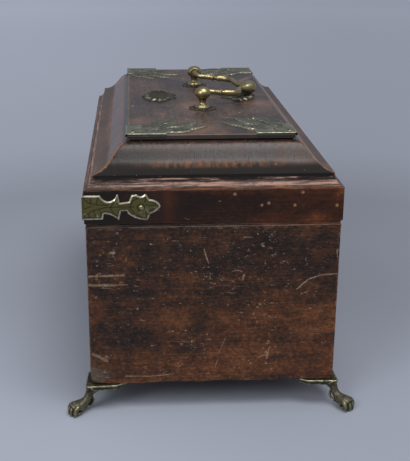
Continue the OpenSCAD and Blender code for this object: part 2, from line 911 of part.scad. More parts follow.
module at_corner_pins() {
    for (k = [0 : 3])
        at_panel_corner(k)
            for (p = corner_pins)
                translate([p[0], p[1], 0])
                    children();
}

module corner_mount(k) {
    far = leaf_reach;
    side = 0.83 * leaf_reach;
    color(old_brass)
        at_panel_corner(k)
            difference() {
                union() {
                    linear_extrude(mount_t) {
                        polygon([
                            [-mount_t, -mount_t], [strip_l, -mount_t], [strip_l + 1, 3],
                            [0.62 * far, 0.23 * side], [0.66 * far, 0.5 * side], [0.5 * far, 0.68 * side],
                            [0.28 * far, 0.58 * side], [3, strip_l + 0.6], [-mount_t, strip_l]
                        ]);
                        leaf([0.3 * far, 0.15 * side], [far, 0.5 * side], 0.23 * far);
                        leaf([0.4 * far, 0.32 * side], [0.9 * far, 0.8 * side], 0.22 * far);
                        leaf([0.32 * far, 0.4 * side], [0.62 * far, side], 0.23 * far);
                        leaf([0.2 * far, 0.4 * side], [0.38 * far, 0.78 * side], 0.14 * far);
                        leaf([0.5 * far, 0.1 * side], [0.82 * far, 0.24 * side], 0.14 * far);
                    }
                    flange(strip_l, mount_t);
                    mirror([1, -1, 0]) flange(strip_l, mount_t);
                }
                for (p = corner_pins)
                    translate([p[0], p[1], 0]) pin_room(over);
                translate([0, 0, -over])
                    linear_extrude(mount_t + 2 * over) {
                        leaf([0.5 * far, 0.36 * side], [0.68 * far, 0.42 * side], 1.8);
                        leaf([0.42 * far, 0.52 * side], [0.5 * far, 0.68 * side], 1.8);
                    }
            }
}

// The turned-down edge of a corner mount, over the edge of the panel
module flange(l, t) {
    translate([-t, -t, -strip_drop])
        cube([l + t, t, strip_drop + t]);
}

module corner_mount_pins() {
    color(old_brass)
        at_corner_pins()
            translate([0, 0, mount_t]) pin(pin_l);
}

module at_rest_pins() {
    for (sx = [-1, 1], sy = [-1, 1])
        translate([sx * rest_pin_x, sy * rest_y, top_z])
            children();
}

// A shell-edged plate, with a low pad on which the folded bail comes down
module rest_plate(s) {
    pad_top = axis_up - bail_drop - grip_r - rest_gap;
    lobe = rest_w / 4.4;
    color(old_brass)
        mirror([0, s < 0 ? 1 : 0, 0])
            translate([0, rest_y, top_z])
                difference() {
                    union() {
                        linear_extrude(mount_t) {
                            leaf([-rest_l / 2, 0], [rest_l / 2, 0], rest_w);
                            for (i = [-2 : 2])
                                translate([i * rest_l / 6.5, 0.42 * rest_w - 0.9 * i * i])
                                    circle(r = lobe);
                            for (i = [-1, 1])
                                translate([i * rest_l / 8, -0.4 * rest_w])
                                    circle(r = lobe);
                        }
                        translate([0, bail_reach - rest_y, 0])
                            linear_extrude(pad_top)
                                leaf([-rest_l / 6, 0], [rest_l / 6, 0], lobe);
                    }
                    for (x = [-1, 1])
                        translate([x * rest_pin_x, 0, 0]) pin_room(over);
                }
}

module rest_plate_pins() {
    color(old_brass)
        at_rest_pins()
            translate([0, 0, mount_t]) pin(pin_l);
}

// Mounts that wrap the front corners of the band

// Outline of one arm, as distance from the corner and height from the arm's middle line
module band_mount_outline() {
    l = band_mount_l / 42.3;
    h = band_mount_h / 13.8;
    polygon([for (p = concat(
        [[0, -6.9], [11.3, -6.7], [11.6, -3.9]],
        arc([12.2, -3.5], [19.8, -7.4], -0.9, 4),
        [[21.1, -2.1], [24.1, -2.1]],
        arc([24.6, -3.4], [33.9, -7.3], 0.9, 5),
        [[35.3, -7.4], [36.6, -4.2]],
        arc([37.2, -3.6], [42.3, 0.2], 0.6, 4),
        arc([42.1, 1.4], [36.4, 4.4], 0.8, 4),
        [[34.4, 7.5]],
        arc([33.6, 7.2], [29.6, 7.2], -1.1, 4),
        [[26.7, 6.9], [25.2, 3.2], [20.4, 2.7], [19.5, 7.5]],
        arc([18.6, 7.1], [10.9, 5.2], -2.6, 8),
        [[9.8, 6.9], [0, 6.9]]
    )) [p[0] * l, p[1] * h]]);
}

module at_band_pins() {
    z = bead_z + (band_z - bead_z) / 2;
    for (s = [-1, 1]) {
        translate([s * (case_l / 2 + band_over), -case_w / 2 - band_over - mount_t + band_pin_s, z])
            rotate([0, s * 90, 0])
                children();
        translate([s * (case_l / 2 + band_over + mount_t - band_pin_s), -case_w / 2 - band_over, z])
            rotate([90, 0, 0])
                children();
    }
}

module band_mount(s) {
    z = bead_z + (band_z - bead_z) / 2;
    out = band_over + mount_t;
    color(foot_brass)
        difference() {
            mirror([s < 0 ? 1 : 0, 0, 0])
                translate([case_l / 2 + out, -case_w / 2 - out, z]) {
                    translate([-mount_t, 0, 0])
                        rotate([90, 0, 90])
                            linear_extrude(mount_t) band_mount_outline();
                    mirror([1, 0, 0])
                        translate([0, mount_t, 0])
                            rotate([90, 0, 0])
                                linear_extrude(mount_t) band_mount_outline();
                }
            at_band_pins() pin_room(over);
        }
}

module band_mount_pins() {
    color(old_brass)
        at_band_pins()
            translate([0, 0, mount_t]) pin(pin_l);
}

// Handle

module post(s) {
    low = rosette_t;
    foot_r = post_base_r;
    knob_low = axis_up - knob_half_h;
    nut_room = 4.2;
    color(bright_brass)
        translate([s * post_span / 2, 0, top_z])
            difference() {
                union() {
                    rotate_extrude()
                        polygon(concat(
                            [[0, low], [foot_r, low], [foot_r, low + 0.6]],
                            arc([foot_r - 0.3, low + 0.9], [0.8 * foot_r, low + 1.2], 0.1, 3),
                            [[0.8 * foot_r, low + 1.6]],
                            arc([0.74 * foot_r, low + 1.8], [neck_r, knob_low - 0.6], -0.5, 8),
                            [for (a = [-52 : 8 : 90])
                                [max(knob_r * cos(a), 0), axis_up + knob_half_h * sin(a)]],
                            [[0, axis_up + knob_half_h]]
                        ));
                    translate([0, 0, -panel_edge - tongue_t - nut_room])
                        cylinder(h = panel_edge + tongue_t + nut_room + low + over / 2, r = shank_r);
                }
                translate([-s * knob_r, 0, axis_up])
                    rotate([0, s * 90, 0]) {
                        translate([0, 0, -over])
                            cylinder(h = socket_depth + over, r = pivot_r + run_gap);
                        translate([0, 0, -over])
                            cylinder(h = 1.2 + over, r1 = pivot_r + 2.6, r2 = pivot_r + run_gap);
                    }
            }
}

module rosette(s) {
    petals = 10;
    color(old_brass)
        translate([s * post_span / 2, 0, top_z])
            linear_extrude(rosette_t)
                difference() {
                    union() {
                        circle(r = 0.82 * rosette_r);
                        for (i = [0 : petals - 1])
                            rotate(360 * i / petals)
                                translate([0.8 * rosette_r, 0])
                                    circle(r = 0.2 * rosette_r);
                    }
                    circle(r = shank_r + joint_gap);
                }
}

// Square nuts under the panel, one on each post
module post_nuts() {
    width = 7;
    high = 3;
    color(iron)
        for (s = [-1, 1])
            translate([s * post_span / 2, 0, tongue_z - high])
                difference() {
                    translate([-width / 2, -width / 2, 0]) cube([width, width, high]);
                    translate([0, 0, -over]) cylinder(h = high + 2 * over, r = shank_r + joint_gap);
                }
}

// The bail folded to the back: rows give one half, from the pivot to the middle of the grip
module bail() {
    arm_x = arm_span / 2;
    neck_x = post_span / 2 - knob_r - 0.8;
    pin_in = socket_depth - 0.6;
    grow = bail_reach / 34.8;
    half = [
        [neck_x, 0, 0, 1.5 * pivot_r],
        [neck_x - 1.2, 0.2, -0.1, arm_r + 0.2],
        [(neck_x + arm_x) / 2, 0.8, -0.5, arm_r],
        [arm_x + 0.9, 3.4, -1.3, arm_r],
        [arm_x + 0.3, 7.5, -1.8, arm_r],
        [arm_x, 11.2, -2.1, arm_r],
        [arm_x, 12.2, -2.2, arm_r + 0.7],
        [arm_x - 0.1, 13.3, -2.3, arm_r - 0.3],
        [arm_x - 0.6, 15.6, -2.5, arm_r + 0.3],
        [arm_x - 1, 18.6, -2.7, arm_r + 0.4],
        [arm_x - 2.2, 21.8, -2.9, arm_r + 0.4],
        [arm_x - 6, 24.4, -3.1, arm_r + 0.2],
        [arm_x - 13, 25.6, -3.2, arm_r],
        [0.32 * arm_x, 27, -3.4, arm_r],
        [0.22 * arm_x, 29.6, -3.6, arm_r + 0.7],
        [0.15 * arm_x, 32, -3.7, 0.8 * grip_r],
        [0.08 * arm_x, 34.1, -bail_drop, 0.95 * grip_r],
        [0, 34.8, -bail_drop, grip_r]
    ];
    right = [for (p = half) [p[0], p[1] * grow, p[2], p[3], p[3]]];
    left = [for (i = [len(right) - 2 : -1 : 0]) let (p = right[i]) [-p[0], p[1], p[2], p[3], p[4]]];
    color(bright_brass)
        translate([0, 0, axis_z]) {
            swept(smooth(concat(right, left), 2), [0, 0, 1], 12);
            for (s = [-1, 1])
                translate([s * (neck_x - 0.5), 0, 0])
                    rotate([0, s * 90, 0])
                        cylinder(h = 0.5 + 0.8 + pin_in, r = pivot_r);
        }
}

front_board();
back_board();
end_board(LEFT);  // left_end_board
end_board(RIGHT);  // right_end_board
bottom_board();
partition(-1);  // left_partition
partition(1);  // right_partition
compartment_linings();
foot(-1, -1);  // foot_front_left
foot(1, -1);  // foot_front_right
foot(-1, 1);  // foot_back_left
foot(1, 1);  // foot_back_right
foot_screws();
keyhole_escutcheon();
escutcheon_pins();
lock_plate();
lock_cap();
lock_spring();
lock_screws();
lock_bolt();
hinge_body_leaf(-1);  // left_hinge_body_leaf
hinge_body_leaf(1);  // right_hinge_body_leaf
hinge_pins();
hinge_body_screws();
band_rail(FRONT);  // front_band_rail
band_rail(BACK);  // back_band_rail
band_rail(LEFT);  // left_band_rail
band_rail(RIGHT);  // right_band_rail
bead(FRONT);  // front_bead
bead(BACK);  // back_bead
bead(LEFT);  // left_bead
bead(RIGHT);  // right_bead
ogee(FRONT);  // front_ogee
ogee(BACK);  // back_ogee
ogee(LEFT);  // left_ogee
ogee(RIGHT);  // right_ogee
top_panel();
corner_mount(0);  // corner_mount_front_left
corner_mount(1);  // corner_mount_front_right
corner_mount(3);  // corner_mount_back_left
corner_mount(2);  // corner_mount_back_right
corner_mount_pins();
band_mount(-1);  // band_mount_left
band_mount(1);  // band_mount_right
band_mount_pins();
rest_plate(-1);  // front_rest_plate
rest_plate(1);  // back_rest_plate
rest_plate_pins();
post(-1);  // left_post
post(1);  // right_post
rosette(-1);  // left_rosette
rosette(1);  // right_rosette
post_nuts();
link_plate();
link_plate_screws();
hinge_lid_leaf(-1);  // left_hinge_lid_leaf
hinge_lid_leaf(1);  // right_hinge_lid_leaf
hinge_lid_screws();
bail();
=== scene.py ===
import math

import bmesh
import bpy
import numpy as np
from mathutils import Matrix, Vector, noise


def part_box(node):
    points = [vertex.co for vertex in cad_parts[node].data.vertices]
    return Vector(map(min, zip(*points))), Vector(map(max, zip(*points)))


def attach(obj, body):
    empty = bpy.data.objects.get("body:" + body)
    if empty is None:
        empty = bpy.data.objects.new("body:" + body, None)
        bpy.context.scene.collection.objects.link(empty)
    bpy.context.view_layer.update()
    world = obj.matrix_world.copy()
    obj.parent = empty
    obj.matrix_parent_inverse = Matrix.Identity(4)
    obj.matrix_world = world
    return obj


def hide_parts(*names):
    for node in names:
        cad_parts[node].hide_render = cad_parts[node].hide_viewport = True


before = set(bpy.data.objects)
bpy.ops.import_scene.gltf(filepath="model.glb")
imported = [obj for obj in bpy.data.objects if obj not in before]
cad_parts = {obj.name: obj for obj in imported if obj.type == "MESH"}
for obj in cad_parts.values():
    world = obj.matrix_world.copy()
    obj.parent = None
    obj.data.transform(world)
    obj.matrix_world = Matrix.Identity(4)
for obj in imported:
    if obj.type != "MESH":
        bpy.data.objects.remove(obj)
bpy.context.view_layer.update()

# Lengths below are in millimetres, and MM turns them into metres
MM = 0.001


def node_box(node):
    """Lowest and highest corner of a CAD node, in millimetres."""
    low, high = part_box(node)
    return np.array(low) / MM, np.array(high) / MM


# The case and the lid, read from the frame
case_low, case_high = node_box("right_end_board")
HALF_L, HALF_W, RIM_Z = case_high
FOOT_Z = case_low[2]
band_low, band_high = node_box("right_band_rail")
BAND_HALF_L, BAND_HALF_W, TREAD_Z = band_high
LID_Z = band_low[2]
OGEE_TOP_Z = node_box("right_ogee")[1][2]
PANEL_HALF_L, PANEL_HALF_W, TOP_Z = node_box("top_panel")[1]
BEAD_HALF_L, BEAD_HALF_W, BEAD_Z = node_box("right_bead")[1]

# Heights inside the lid's outline, as in the part's source
BAND_Z = TREAD_Z - 5.3
OGEE_Z = TREAD_Z + 1.8
PANEL_EDGE = 2.5

# The middle of the keyhole
KEY_Z = RIM_Z - 18.0


# Camera

# The photo's camera: its place, and the way it looks, in degrees
CAMERA_AT = (618.0, -42.4, 273.0)
CAMERA_AZIMUTH = -3.45
CAMERA_DROP = 18.83
CAMERA_ROLL = 0.18
FOCAL_PIXELS = 935.6
FRAME_W = 410
FRAME_H = 461
CENTRE_PIXEL_X = 190


def make_camera():
    data = bpy.data.cameras.new("camera")
    camera = bpy.data.objects.new("camera", data)
    bpy.context.scene.collection.objects.link(camera)
    azimuth = math.radians(CAMERA_AZIMUTH)
    drop = math.radians(CAMERA_DROP)
    flat = -math.cos(drop)
    ahead = Vector((flat * math.cos(azimuth), flat * math.sin(azimuth), -math.sin(drop)))
    turn = ahead.to_track_quat("-Z", "Y") @ Matrix.Rotation(math.radians(CAMERA_ROLL), 3, "Z").to_quaternion()
    camera.rotation_mode = "QUATERNION"
    camera.rotation_quaternion = turn
    camera.location = Vector(CAMERA_AT) * MM
    data.sensor_width = 36
    data.lens = FOCAL_PIXELS / FRAME_H * data.sensor_width
    data.shift_x = (FRAME_W / 2 - CENTRE_PIXEL_X) / FRAME_H
    data.clip_start = 0.01
    data.clip_end = 60
    bpy.context.scene.camera = camera


# Building materials from short calls

class Value:
    """A node's output. Arithmetic on it adds nodes, so that a formula can be written plainly."""

    # Numbers from numpy leave the arithmetic to this class
    __array_ufunc__ = None

    def __init__(self, finish, socket):
        self.finish = finish
        self.socket = socket

    def __add__(self, other):
        return self.finish.math("ADD", self, other)

    def __radd__(self, other):
        return self.finish.math("ADD", other, self)

    def __sub__(self, other):
        return self.finish.math("SUBTRACT", self, other)

    def __rsub__(self, other):
        return self.finish.math("SUBTRACT", other, self)

    def __mul__(self, other):
        return self.finish.math("MULTIPLY", self, other)

    def __rmul__(self, other):
        return self.finish.math("MULTIPLY", other, self)

    def __truediv__(self, other):
        return self.finish.math("DIVIDE", self, other)

    def __abs__(self):
        return self.finish.math("ABSOLUTE", self)


class Finish:
    """A procedural material. Its methods add nodes and return their outputs."""

    def __init__(self, name, **fixed):
        self.material = bpy.data.materials.new(name)
        self.material.use_nodes = True
        self.tree = self.material.node_tree
        self.shader = self.tree.nodes["Principled BSDF"]
        for socket, value in fixed.items():
            self.shader.inputs[socket.replace("_", " ")].default_value = value
        coords = Value(self, self.node("TexCoord").outputs["Object"])
        self.place = self.vector("SCALE", coords, Scale=1 / MM)

    def node(self, kind, **settings):
        node = self.tree.nodes.new("ShaderNode" + kind)
        for name, value in settings.items():
            setattr(node, name, value)
        return node

    def put(self, node, inputs):
        """Links or sets inputs of a node, which are given by number or by name."""
        for key, value in inputs.items():
            if isinstance(value, Value):
                self.tree.links.new(value.socket, node.inputs[key])
            elif value is not None:
                node.inputs[key].default_value = value

    def math(self, operation, a, b=None):
        node = self.node("Math", operation=operation)
        self.put(node, {0: a, 1: b})
        return Value(self, node.outputs[0])

    def most(self, first, *others):
        for other in others:
            first = self.math("MAXIMUM", first, other)
        return first

    def least(self, a, b):
        return self.math("MINIMUM", a, b)

    def vector(self, operation, a, b=None, **inputs):
        node = self.node("VectorMath", operation=operation)
        self.put(node, {0: a, 1: b, **inputs})
        single = operation in ("LENGTH", "DISTANCE")
        return Value(self, node.outputs["Value" if single else "Vector"])

    def stretched(self, scale, offset=(0, 0, 0)):
        return self.vector("ADD", self.vector("MULTIPLY", self.place, scale), offset)

    def parts(self):
        """The place's x, y and z, in millimetres."""
        node = self.node("SeparateXYZ")
        self.put(node, {0: self.place})
        return [Value(self, output) for output in node.outputs]

    def noise(self, scale, detail=4.0, rough=0.55, warp=0.0, offset=(0, 0, 0)):
        node = self.node("TexNoise")
        self.put(node, {"Vector": self.stretched(scale, offset), "Scale": 1.0, "Detail": detail,
                        "Roughness": rough, "Distortion": warp})
        return Value(self, node.outputs[0])

    def cells(self, scale, offset=(0, 0, 0)):
        """Distance to the nearest of a scatter of points, and a random value of that point."""
        node = self.node("TexVoronoi")
        self.put(node, {"Vector": self.stretched(scale, offset), "Scale": 1.0})
        chance = self.node("SeparateColor")
        self.put(chance, {0: Value(self, node.outputs["Color"])})
        return Value(self, node.outputs["Distance"]), Value(self, chance.outputs[0])

    def step(self, value, low, high, out_low=0.0, out_high=1.0):
        """A smooth step of value from low to high."""
        node = self.node("MapRange", interpolation_type="SMOOTHSTEP")
        self.put(node, {"Value": value, "From Min": low, "From Max": high, "To Min": out_low,
                        "To Max": out_high})
        return Value(self, node.outputs["Result"])

    def mix(self, amount, a, b):
        """Colour a, turned into b as amount goes from 0 to 1."""
        node = self.node("Mix", data_type="RGBA")
        self.put(node, {0: amount, 6: rgba(a), 7: rgba(b)})
        return Value(self, node.outputs[2])

    def ramp(self, value, *stops):
        node = self.node("ValToRGB")
        self.put(node, {0: value})
        steps = node.color_ramp.elements
        for i, (at, colour) in enumerate(stops):
            step = steps[i] if i < 2 else steps.new(at)
            step.position = at
            step.color = rgba(colour)
        return Value(self, node.outputs[0])

    def attribute(self, name):
        return Value(self, self.node("Attribute", attribute_name=name).outputs["Fac"])

    def bump(self, height, depth, strength=1.0):
        """A bump of height, from 0 to 1, that is depth millimetres deep."""
        node = self.node("Bump")
        self.put(node, {"Height": height, "Distance": depth * MM, "Strength": strength})
        return Value(self, node.outputs[0])

    def finish(self, colour=None, rough=None, normal=None, metal=None):
        self.put(self.shader, {"Base Color": colour, "Roughness": rough, "Normal": normal,
                               "Metallic": metal})
        return self.material


def rgba(colour):
    if isinstance(colour, tuple) and len(colour) == 3:
        return (*colour, 1.0)
    return colour


# Wood

# Long marks on the photographed end: points of (y, height), width and strength
END_STROKES = [
    ([(-5.5, 97.3), (-4.6, 94), (-3.0, 89.0)], 0.5, 1.0),
    ([(46.9, 72.7), (53.0, 78.4), (59.9, 80.8), (69.3, 81.5)], 0.55, 1.0),
    ([(26.2, 30.7), (31.1, 32.8), (32.6, 37.2)], 0.4, 1.0),
    ([(-69.0, 82.5), (-49.8, 82.9)], 0.9, 0.8),
    ([(-68.6, 77.3), (-54.9, 77.0)], 1.2, 0.9),
    ([(-54.9, 77.2), (-47.9, 77.2)], 0.35, 0.9),
    ([(3.4, 34.1), (7.3, 44.0)], 0.3, 0.6),
    ([(1.2, 24.7), (2.7, 29.7)], 0.3, 0.9),
    ([(49.0, 69.5), (52.9, 71.0)], 0.5, 0.8),
    ([(-49.9, 20.8), (-36, 20.4), (-22.9, 21.3)], 0.7, 0.7),
    ([(-19.7, 25.9), (-17.2, 27.8)], 0.4, 0.8),
    ([(68.5, 95.9), (68.9, 91.2)], 0.6, 0.8),
    ([(16.2, 79.0), (16.9, 81.6)], 0.9, 1.0),
    ([(-68.0, 35.0), (-60.5, 31.0)], 1.5, 0.7),
]

# Places on the top that hands have polished: x, y and reach
WARM_PATCHES = [(28.0, -4.0, 15.0), (25.0, 37.0, 15.0), (100.0, -8.0, 20.0), (75.0, -40.0, 12.0)]

# Chips on the photographed end of the band: y and height
BAND_SPOTS = [(10.8, 128.9), (29.4, 123.6), (25.6, 122.5), (43.7, 122.2), (47.8, 129.5), (66.8, 121.9)]

# Where the band is rubbed, beside the tip of the mount
GLOW_Y = -32.0

# Cracks along the tread above the band: distance in from its face, and width
CRACKS = [(2.0, 0.5), (4.4, 0.7), (6.2, 0.6)]

# Colours of old mahogany, from its darkest to its barest
# SOOT_AND_SHADE darkens pores, joints and soot, and is also the near-black of painted shade and painted
# shadow
SOOT_AND_SHADE = (0.008, 0.006, 0.005)
DARK_BROWN = (0.022, 0.011, 0.007)
RED_BROWN = (0.066, 0.024, 0.010)
WARM_BROWN = (0.165, 0.060, 0.021)
BARE = (0.30, 0.165, 0.085)
PALE_FLECK = (0.40, 0.31, 0.23)


def stroke(finish, y, z, points, width):
    """A mask, 1 along the line through points and 0 past its width."""
    wobble = finish.noise((0.9, 0.9, 0.9), 3.0)
    broken = finish.step(finish.noise((0.7, 0.7, 0.7), 3.0, 0.6, 0.0, (8, 1, 4)), 0.32, 0.44)
    reach = None
    for (y0, z0), (y1, z1) in zip(points, points[1:]):
        length2 = (y1 - y0) ** 2 + (z1 - z0) ** 2
        dy = y - y0
        dz = z - z0
        along = dy * ((y1 - y0) / length2) + dz * ((z1 - z0) / length2)
        along = finish.most(finish.least(along, 1.0), 0.0)
        off_y = dy - along * (y1 - y0)
        off_z = dz - along * (z1 - z0)
        gap = finish.math("SQRT", off_y * off_y + off_z * off_z)
        reach = gap if reach is None else finish.least(reach, gap)
    return broken * finish.step(reach + wobble * width, 1.5 * width, 0.7 * width)


def grain(finish, way, scale=1.0):
    """Fibres, broad figure and pores, with the fibres along way."""
    def along(long, short):
        return tuple(long * scale if axis == way else short * scale for axis in "XYZ")
    fibres = finish.noise(along(0.035, 1.5), 6.0, 0.62, 0.3)
    figure = finish.noise(along(0.010, 0.11), 4.0, 0.55, 0.8, (7, 3, 5))
    pores = finish.step(finish.noise(along(0.16, 3.6), 2.0, 0.5, 0.0, (3, 9, 1)), 0.60, 0.72)
    return fibres, figure, pores


def flecks(finish, size, share, offset, run=1.0, way="Y"):
    """Small worn spots about size apart, of which a share shows, drawn out run times along way."""
    gap, chance = finish.cells(tuple(1 / size if axis == way else run / size for axis in "XYZ"), offset)
    ragged = finish.noise((1.3, 1.3, 1.3), 2.0, 0.6, 0.0, offset)
    near = finish.step(gap + ragged * 0.16, 0.2, 0.13)
    return near * finish.step(chance, 1 - share, 1 - 0.8 * share)


def specks(finish, scale, share, offset):
    """Small ragged chips, thicker in some places than in others. share is about 0.02 to 0.1."""
    chips = finish.noise(scale, 3.0, 0.75, 0.2, offset)
    crowd = finish.noise((0.045, 0.045, 0.045), 2.0, 0.5, 0.0, offset)
    amount = chips + crowd * 0.3
    return finish.step(amount, 0.86 - share, 0.92 - share)


def wood_normal(finish, fibres, pores, dents, depth=0.12):
    height = fibres * 0.5 - pores * 0.6 - dents * 0.8
    return finish.bump(height, depth, 0.8)


def case_wood(name, way, marked):
    """The case's dark boards. The photographed end has the scratches that the photo shows."""
    finish = Finish(name, IOR=1.5, Specular_IOR_Level=0.26)
    x, y, z = finish.parts()
    fibres, figure, pores = grain(finish, way)
    patch = finish.noise((0.026, 0.026, 0.032), 3.0, 0.55, 0.6, (2, 4, 8))
    blot = finish.noise((0.09, 0.09, 0.13), 4.0, 0.6, 0.4, (11, 5, 2))
    mottle = finish.noise((0.42, 0.42, 0.60), 4.0, 0.7, 0.3, (4, 12, 2))
    low = finish.step(z, RIM_Z - 5, FOOT_Z + 12)
    run = y if way == "Y" else x
    half = HALF_W if way == "Y" else HALF_L
    side = finish.step(run, -half, 0.6 * half)
    tone = (patch * 1.1 + blot * 0.9 + fibres * 0.8 + figure * 0.6 + mottle * 1.3 + low * 0.34
            + side * 0.02 - 2.04)
    colour = finish.ramp(tone, (0.0, SOOT_AND_SHADE), (0.28, DARK_BROWN), (0.60, RED_BROWN), (1.0, WARM_BROWN))
    colour = finish.mix(pores * 0.8, colour, SOOT_AND_SHADE)
    # Rubbed edges: the lower edge, the corners and the rim
    to_side = half - abs(run)
    to_foot = z - FOOT_Z
    to_rim = RIM_Z - z
    rub_noise = finish.noise((0.22, 0.22, 0.30), 4.0, 0.65, 0.3, (5, 5, 1))
    edge = finish.least(to_side * 1.6, finish.least(to_foot, to_rim * 1.6))
    rubbed = finish.step(edge + rub_noise * 9.0, 6.0, 3.0)
    sparse = finish.step(rub_noise, 0.60, 0.72)
    colour = finish.mix(rubbed * 0.42, colour, BARE)
    colour = finish.mix(sparse * 0.16, colour, BARE)
    long = tuple(0.16 if axis == way else 1.1 for axis in "XYZ")
    spots = finish.most(
        specks(finish, (0.3, 0.3, 0.4), 0.064, (1, 2, 3)),
        specks(finish, (0.65, 0.65, 0.75), 0.022, (8, 2, 6)),
        specks(finish, long, 0.05, (2, 9, 5)),
        flecks(finish, 16.0, 0.3, (4, 7, 3)) * 0.4)
    marks = spots * (finish.noise((0.3, 0.3, 0.3), 2.0, 0.5, 0.0, (3, 3, 3)) + 0.35)
    if marked:
        for points, width, strength in END_STROKES:
            marks = finish.most(marks, stroke(finish, y, z, points, width) * (0.8 * strength))
        corner = finish.vector("DISTANCE", finish.place, (HALF_L, -HALF_W, FOOT_Z))
        scuff = finish.step(corner + blot * 22.0, 26.0, 17.0)
        colour = finish.mix(scuff * 0.6 * mottle, colour, (0.2, 0.17, 0.14))
    worn_tone = finish.mix(finish.step(finish.noise((0.4, 0.4, 0.4), 2.0), 0.4, 0.62), BARE, PALE_FLECK)
    colour = finish.mix(marks * 0.68, colour, worn_tone)
    rough = 0.34 + patch * 0.18 + marks * 0.25 + rubbed * 0.15
    return finish.finish(colour, rough, wood_normal(finish, fibres, pores, marks + mottle * 0.4))


def lid_wood(name, way):
    """The lid's band, bead and steps: darker and redder, rubbed pale along the steps."""
    finish = Finish(name, IOR=1.5, Specular_IOR_Level=0.22)
    x, y, z = finish.parts()
    fibres, figure, pores = grain(finish, way, 0.9)
    patch = finish.noise((0.035, 0.035, 0.06), 3.0, 0.5, 0.5, (6, 1, 4))
    mottle = finish.noise((0.40, 0.40, 0.55), 4.0, 0.7, 0.3, (2, 2, 9))
    run = y if way == "Y" else x
    half = BAND_HALF_W if way == "Y" else BAND_HALF_L
    side = finish.step(run, -20.0, 50.0) if way == "Y" else 0.5
    tone = patch * 1.3 + fibres * 0.6 + figure * 0.5 + mottle * 0.7 + side * 0.22 - 1.14
    colour = finish.ramp(tone, (0.0, SOOT_AND_SHADE), (0.35, (0.018, 0.007, 0.004)), (0.7, (0.055, 0.016, 0.006)),
                         (1.0, (0.15, 0.045, 0.014)))
    colour = finish.mix(pores * 0.6, colour, SOOT_AND_SHADE)
    # The glow beside the mount at each front corner, where hands have rubbed the polish through
    if way == "Y":
        near = abs(y - GLOW_Y)
        glow = finish.step(near + patch * 12.0 + mottle * 8.0, 24.0, 6.0)
        upper = finish.step(z, LID_Z, BAND_Z, 0.45, 1.0)
        colour = finish.mix(glow * upper * 0.45, colour, (0.17, 0.046, 0.013))
    # Soot lies round the mounts
    by_mount = finish.step(half - abs(run), 46.0, 41.0)
    colour = finish.mix(by_mount * (finish.step(y, 0, -10) if way == "Y" else 0.6) * 0.75, colour, SOOT_AND_SHADE)
    # The steps above the band are worn to a dull pink, with soot in their joints
    rub = finish.noise(tuple(0.05 if axis == way else 0.8 for axis in "XYZ"), 4.0, 0.65, 0.4, (9, 2, 5))
    up = finish.step(z, BAND_Z - 0.6, BAND_Z + 1.2)
    colour = finish.mix(up * 0.6, colour, (0.05, 0.022, 0.013))
    across = x if way == "Y" else y
    inward = (BAND_HALF_L if way == "Y" else BAND_HALF_W) - abs(across)
    inward = inward + finish.noise((0.12, 0.12, 0.12), 3.0) * 0.8 - 0.4
    worn = (up * finish.step(rub, 0.42, 0.56) * finish.step(inward, 1.2, 2.2)
            * finish.step(mottle + patch, 0.72, 0.98))
    colour = finish.mix(worn * 0.85, colour, (0.35, 0.2, 0.155))
    edge = finish.step(z, BAND_Z - 1.2, BAND_Z + 0.2) * finish.step(z, BAND_Z + 2.2, BAND_Z + 0.6)
    colour = finish.mix(edge * finish.step(rub, 0.44, 0.62) * 0.45, colour, (0.22, 0.095, 0.045))
    cracks = None
    for depth, width in CRACKS:
        off = abs(inward - depth)
        line = finish.step(off, width, 0.4 * width) * finish.step(rub, 0.66, 0.54)
        cracks = line if cracks is None else finish.most(cracks, line)
    cracks = up * cracks
    colour = finish.mix(cracks * 0.9, colour, SOOT_AND_SHADE)
    low = finish.step(z, LID_Z + 3.4, LID_Z + 2.2)
    colour = finish.mix(low * 0.35 * finish.step(rub, 0.4, 0.65), colour, (0.22, 0.13, 0.09))
    spots = finish.most(flecks(finish, 9.0, 0.30, (3, 2, 1)), flecks(finish, 4.5, 0.12, (2, 6, 8)),
                        flecks(finish, 10.0, 0.28, (5, 1, 6), 6.0, way))
    if way == "Y":
        for spot_y, spot_z in BAND_SPOTS:
            gap = finish.vector("DISTANCE", finish.stretched((0, 1, 1)), (0, spot_y, spot_z))
            spots = finish.most(spots, finish.step(gap + mottle * 1.2, 1.8, 1.0))
    colour = finish.mix(spots * 0.7, colour, BARE)
    rough = 0.26 + patch * 0.12 + worn * 0.3 + spots * 0.3
    height = cracks * 1.0 + spots
    return finish.finish(colour, rough, wood_normal(finish, fibres, pores, height))


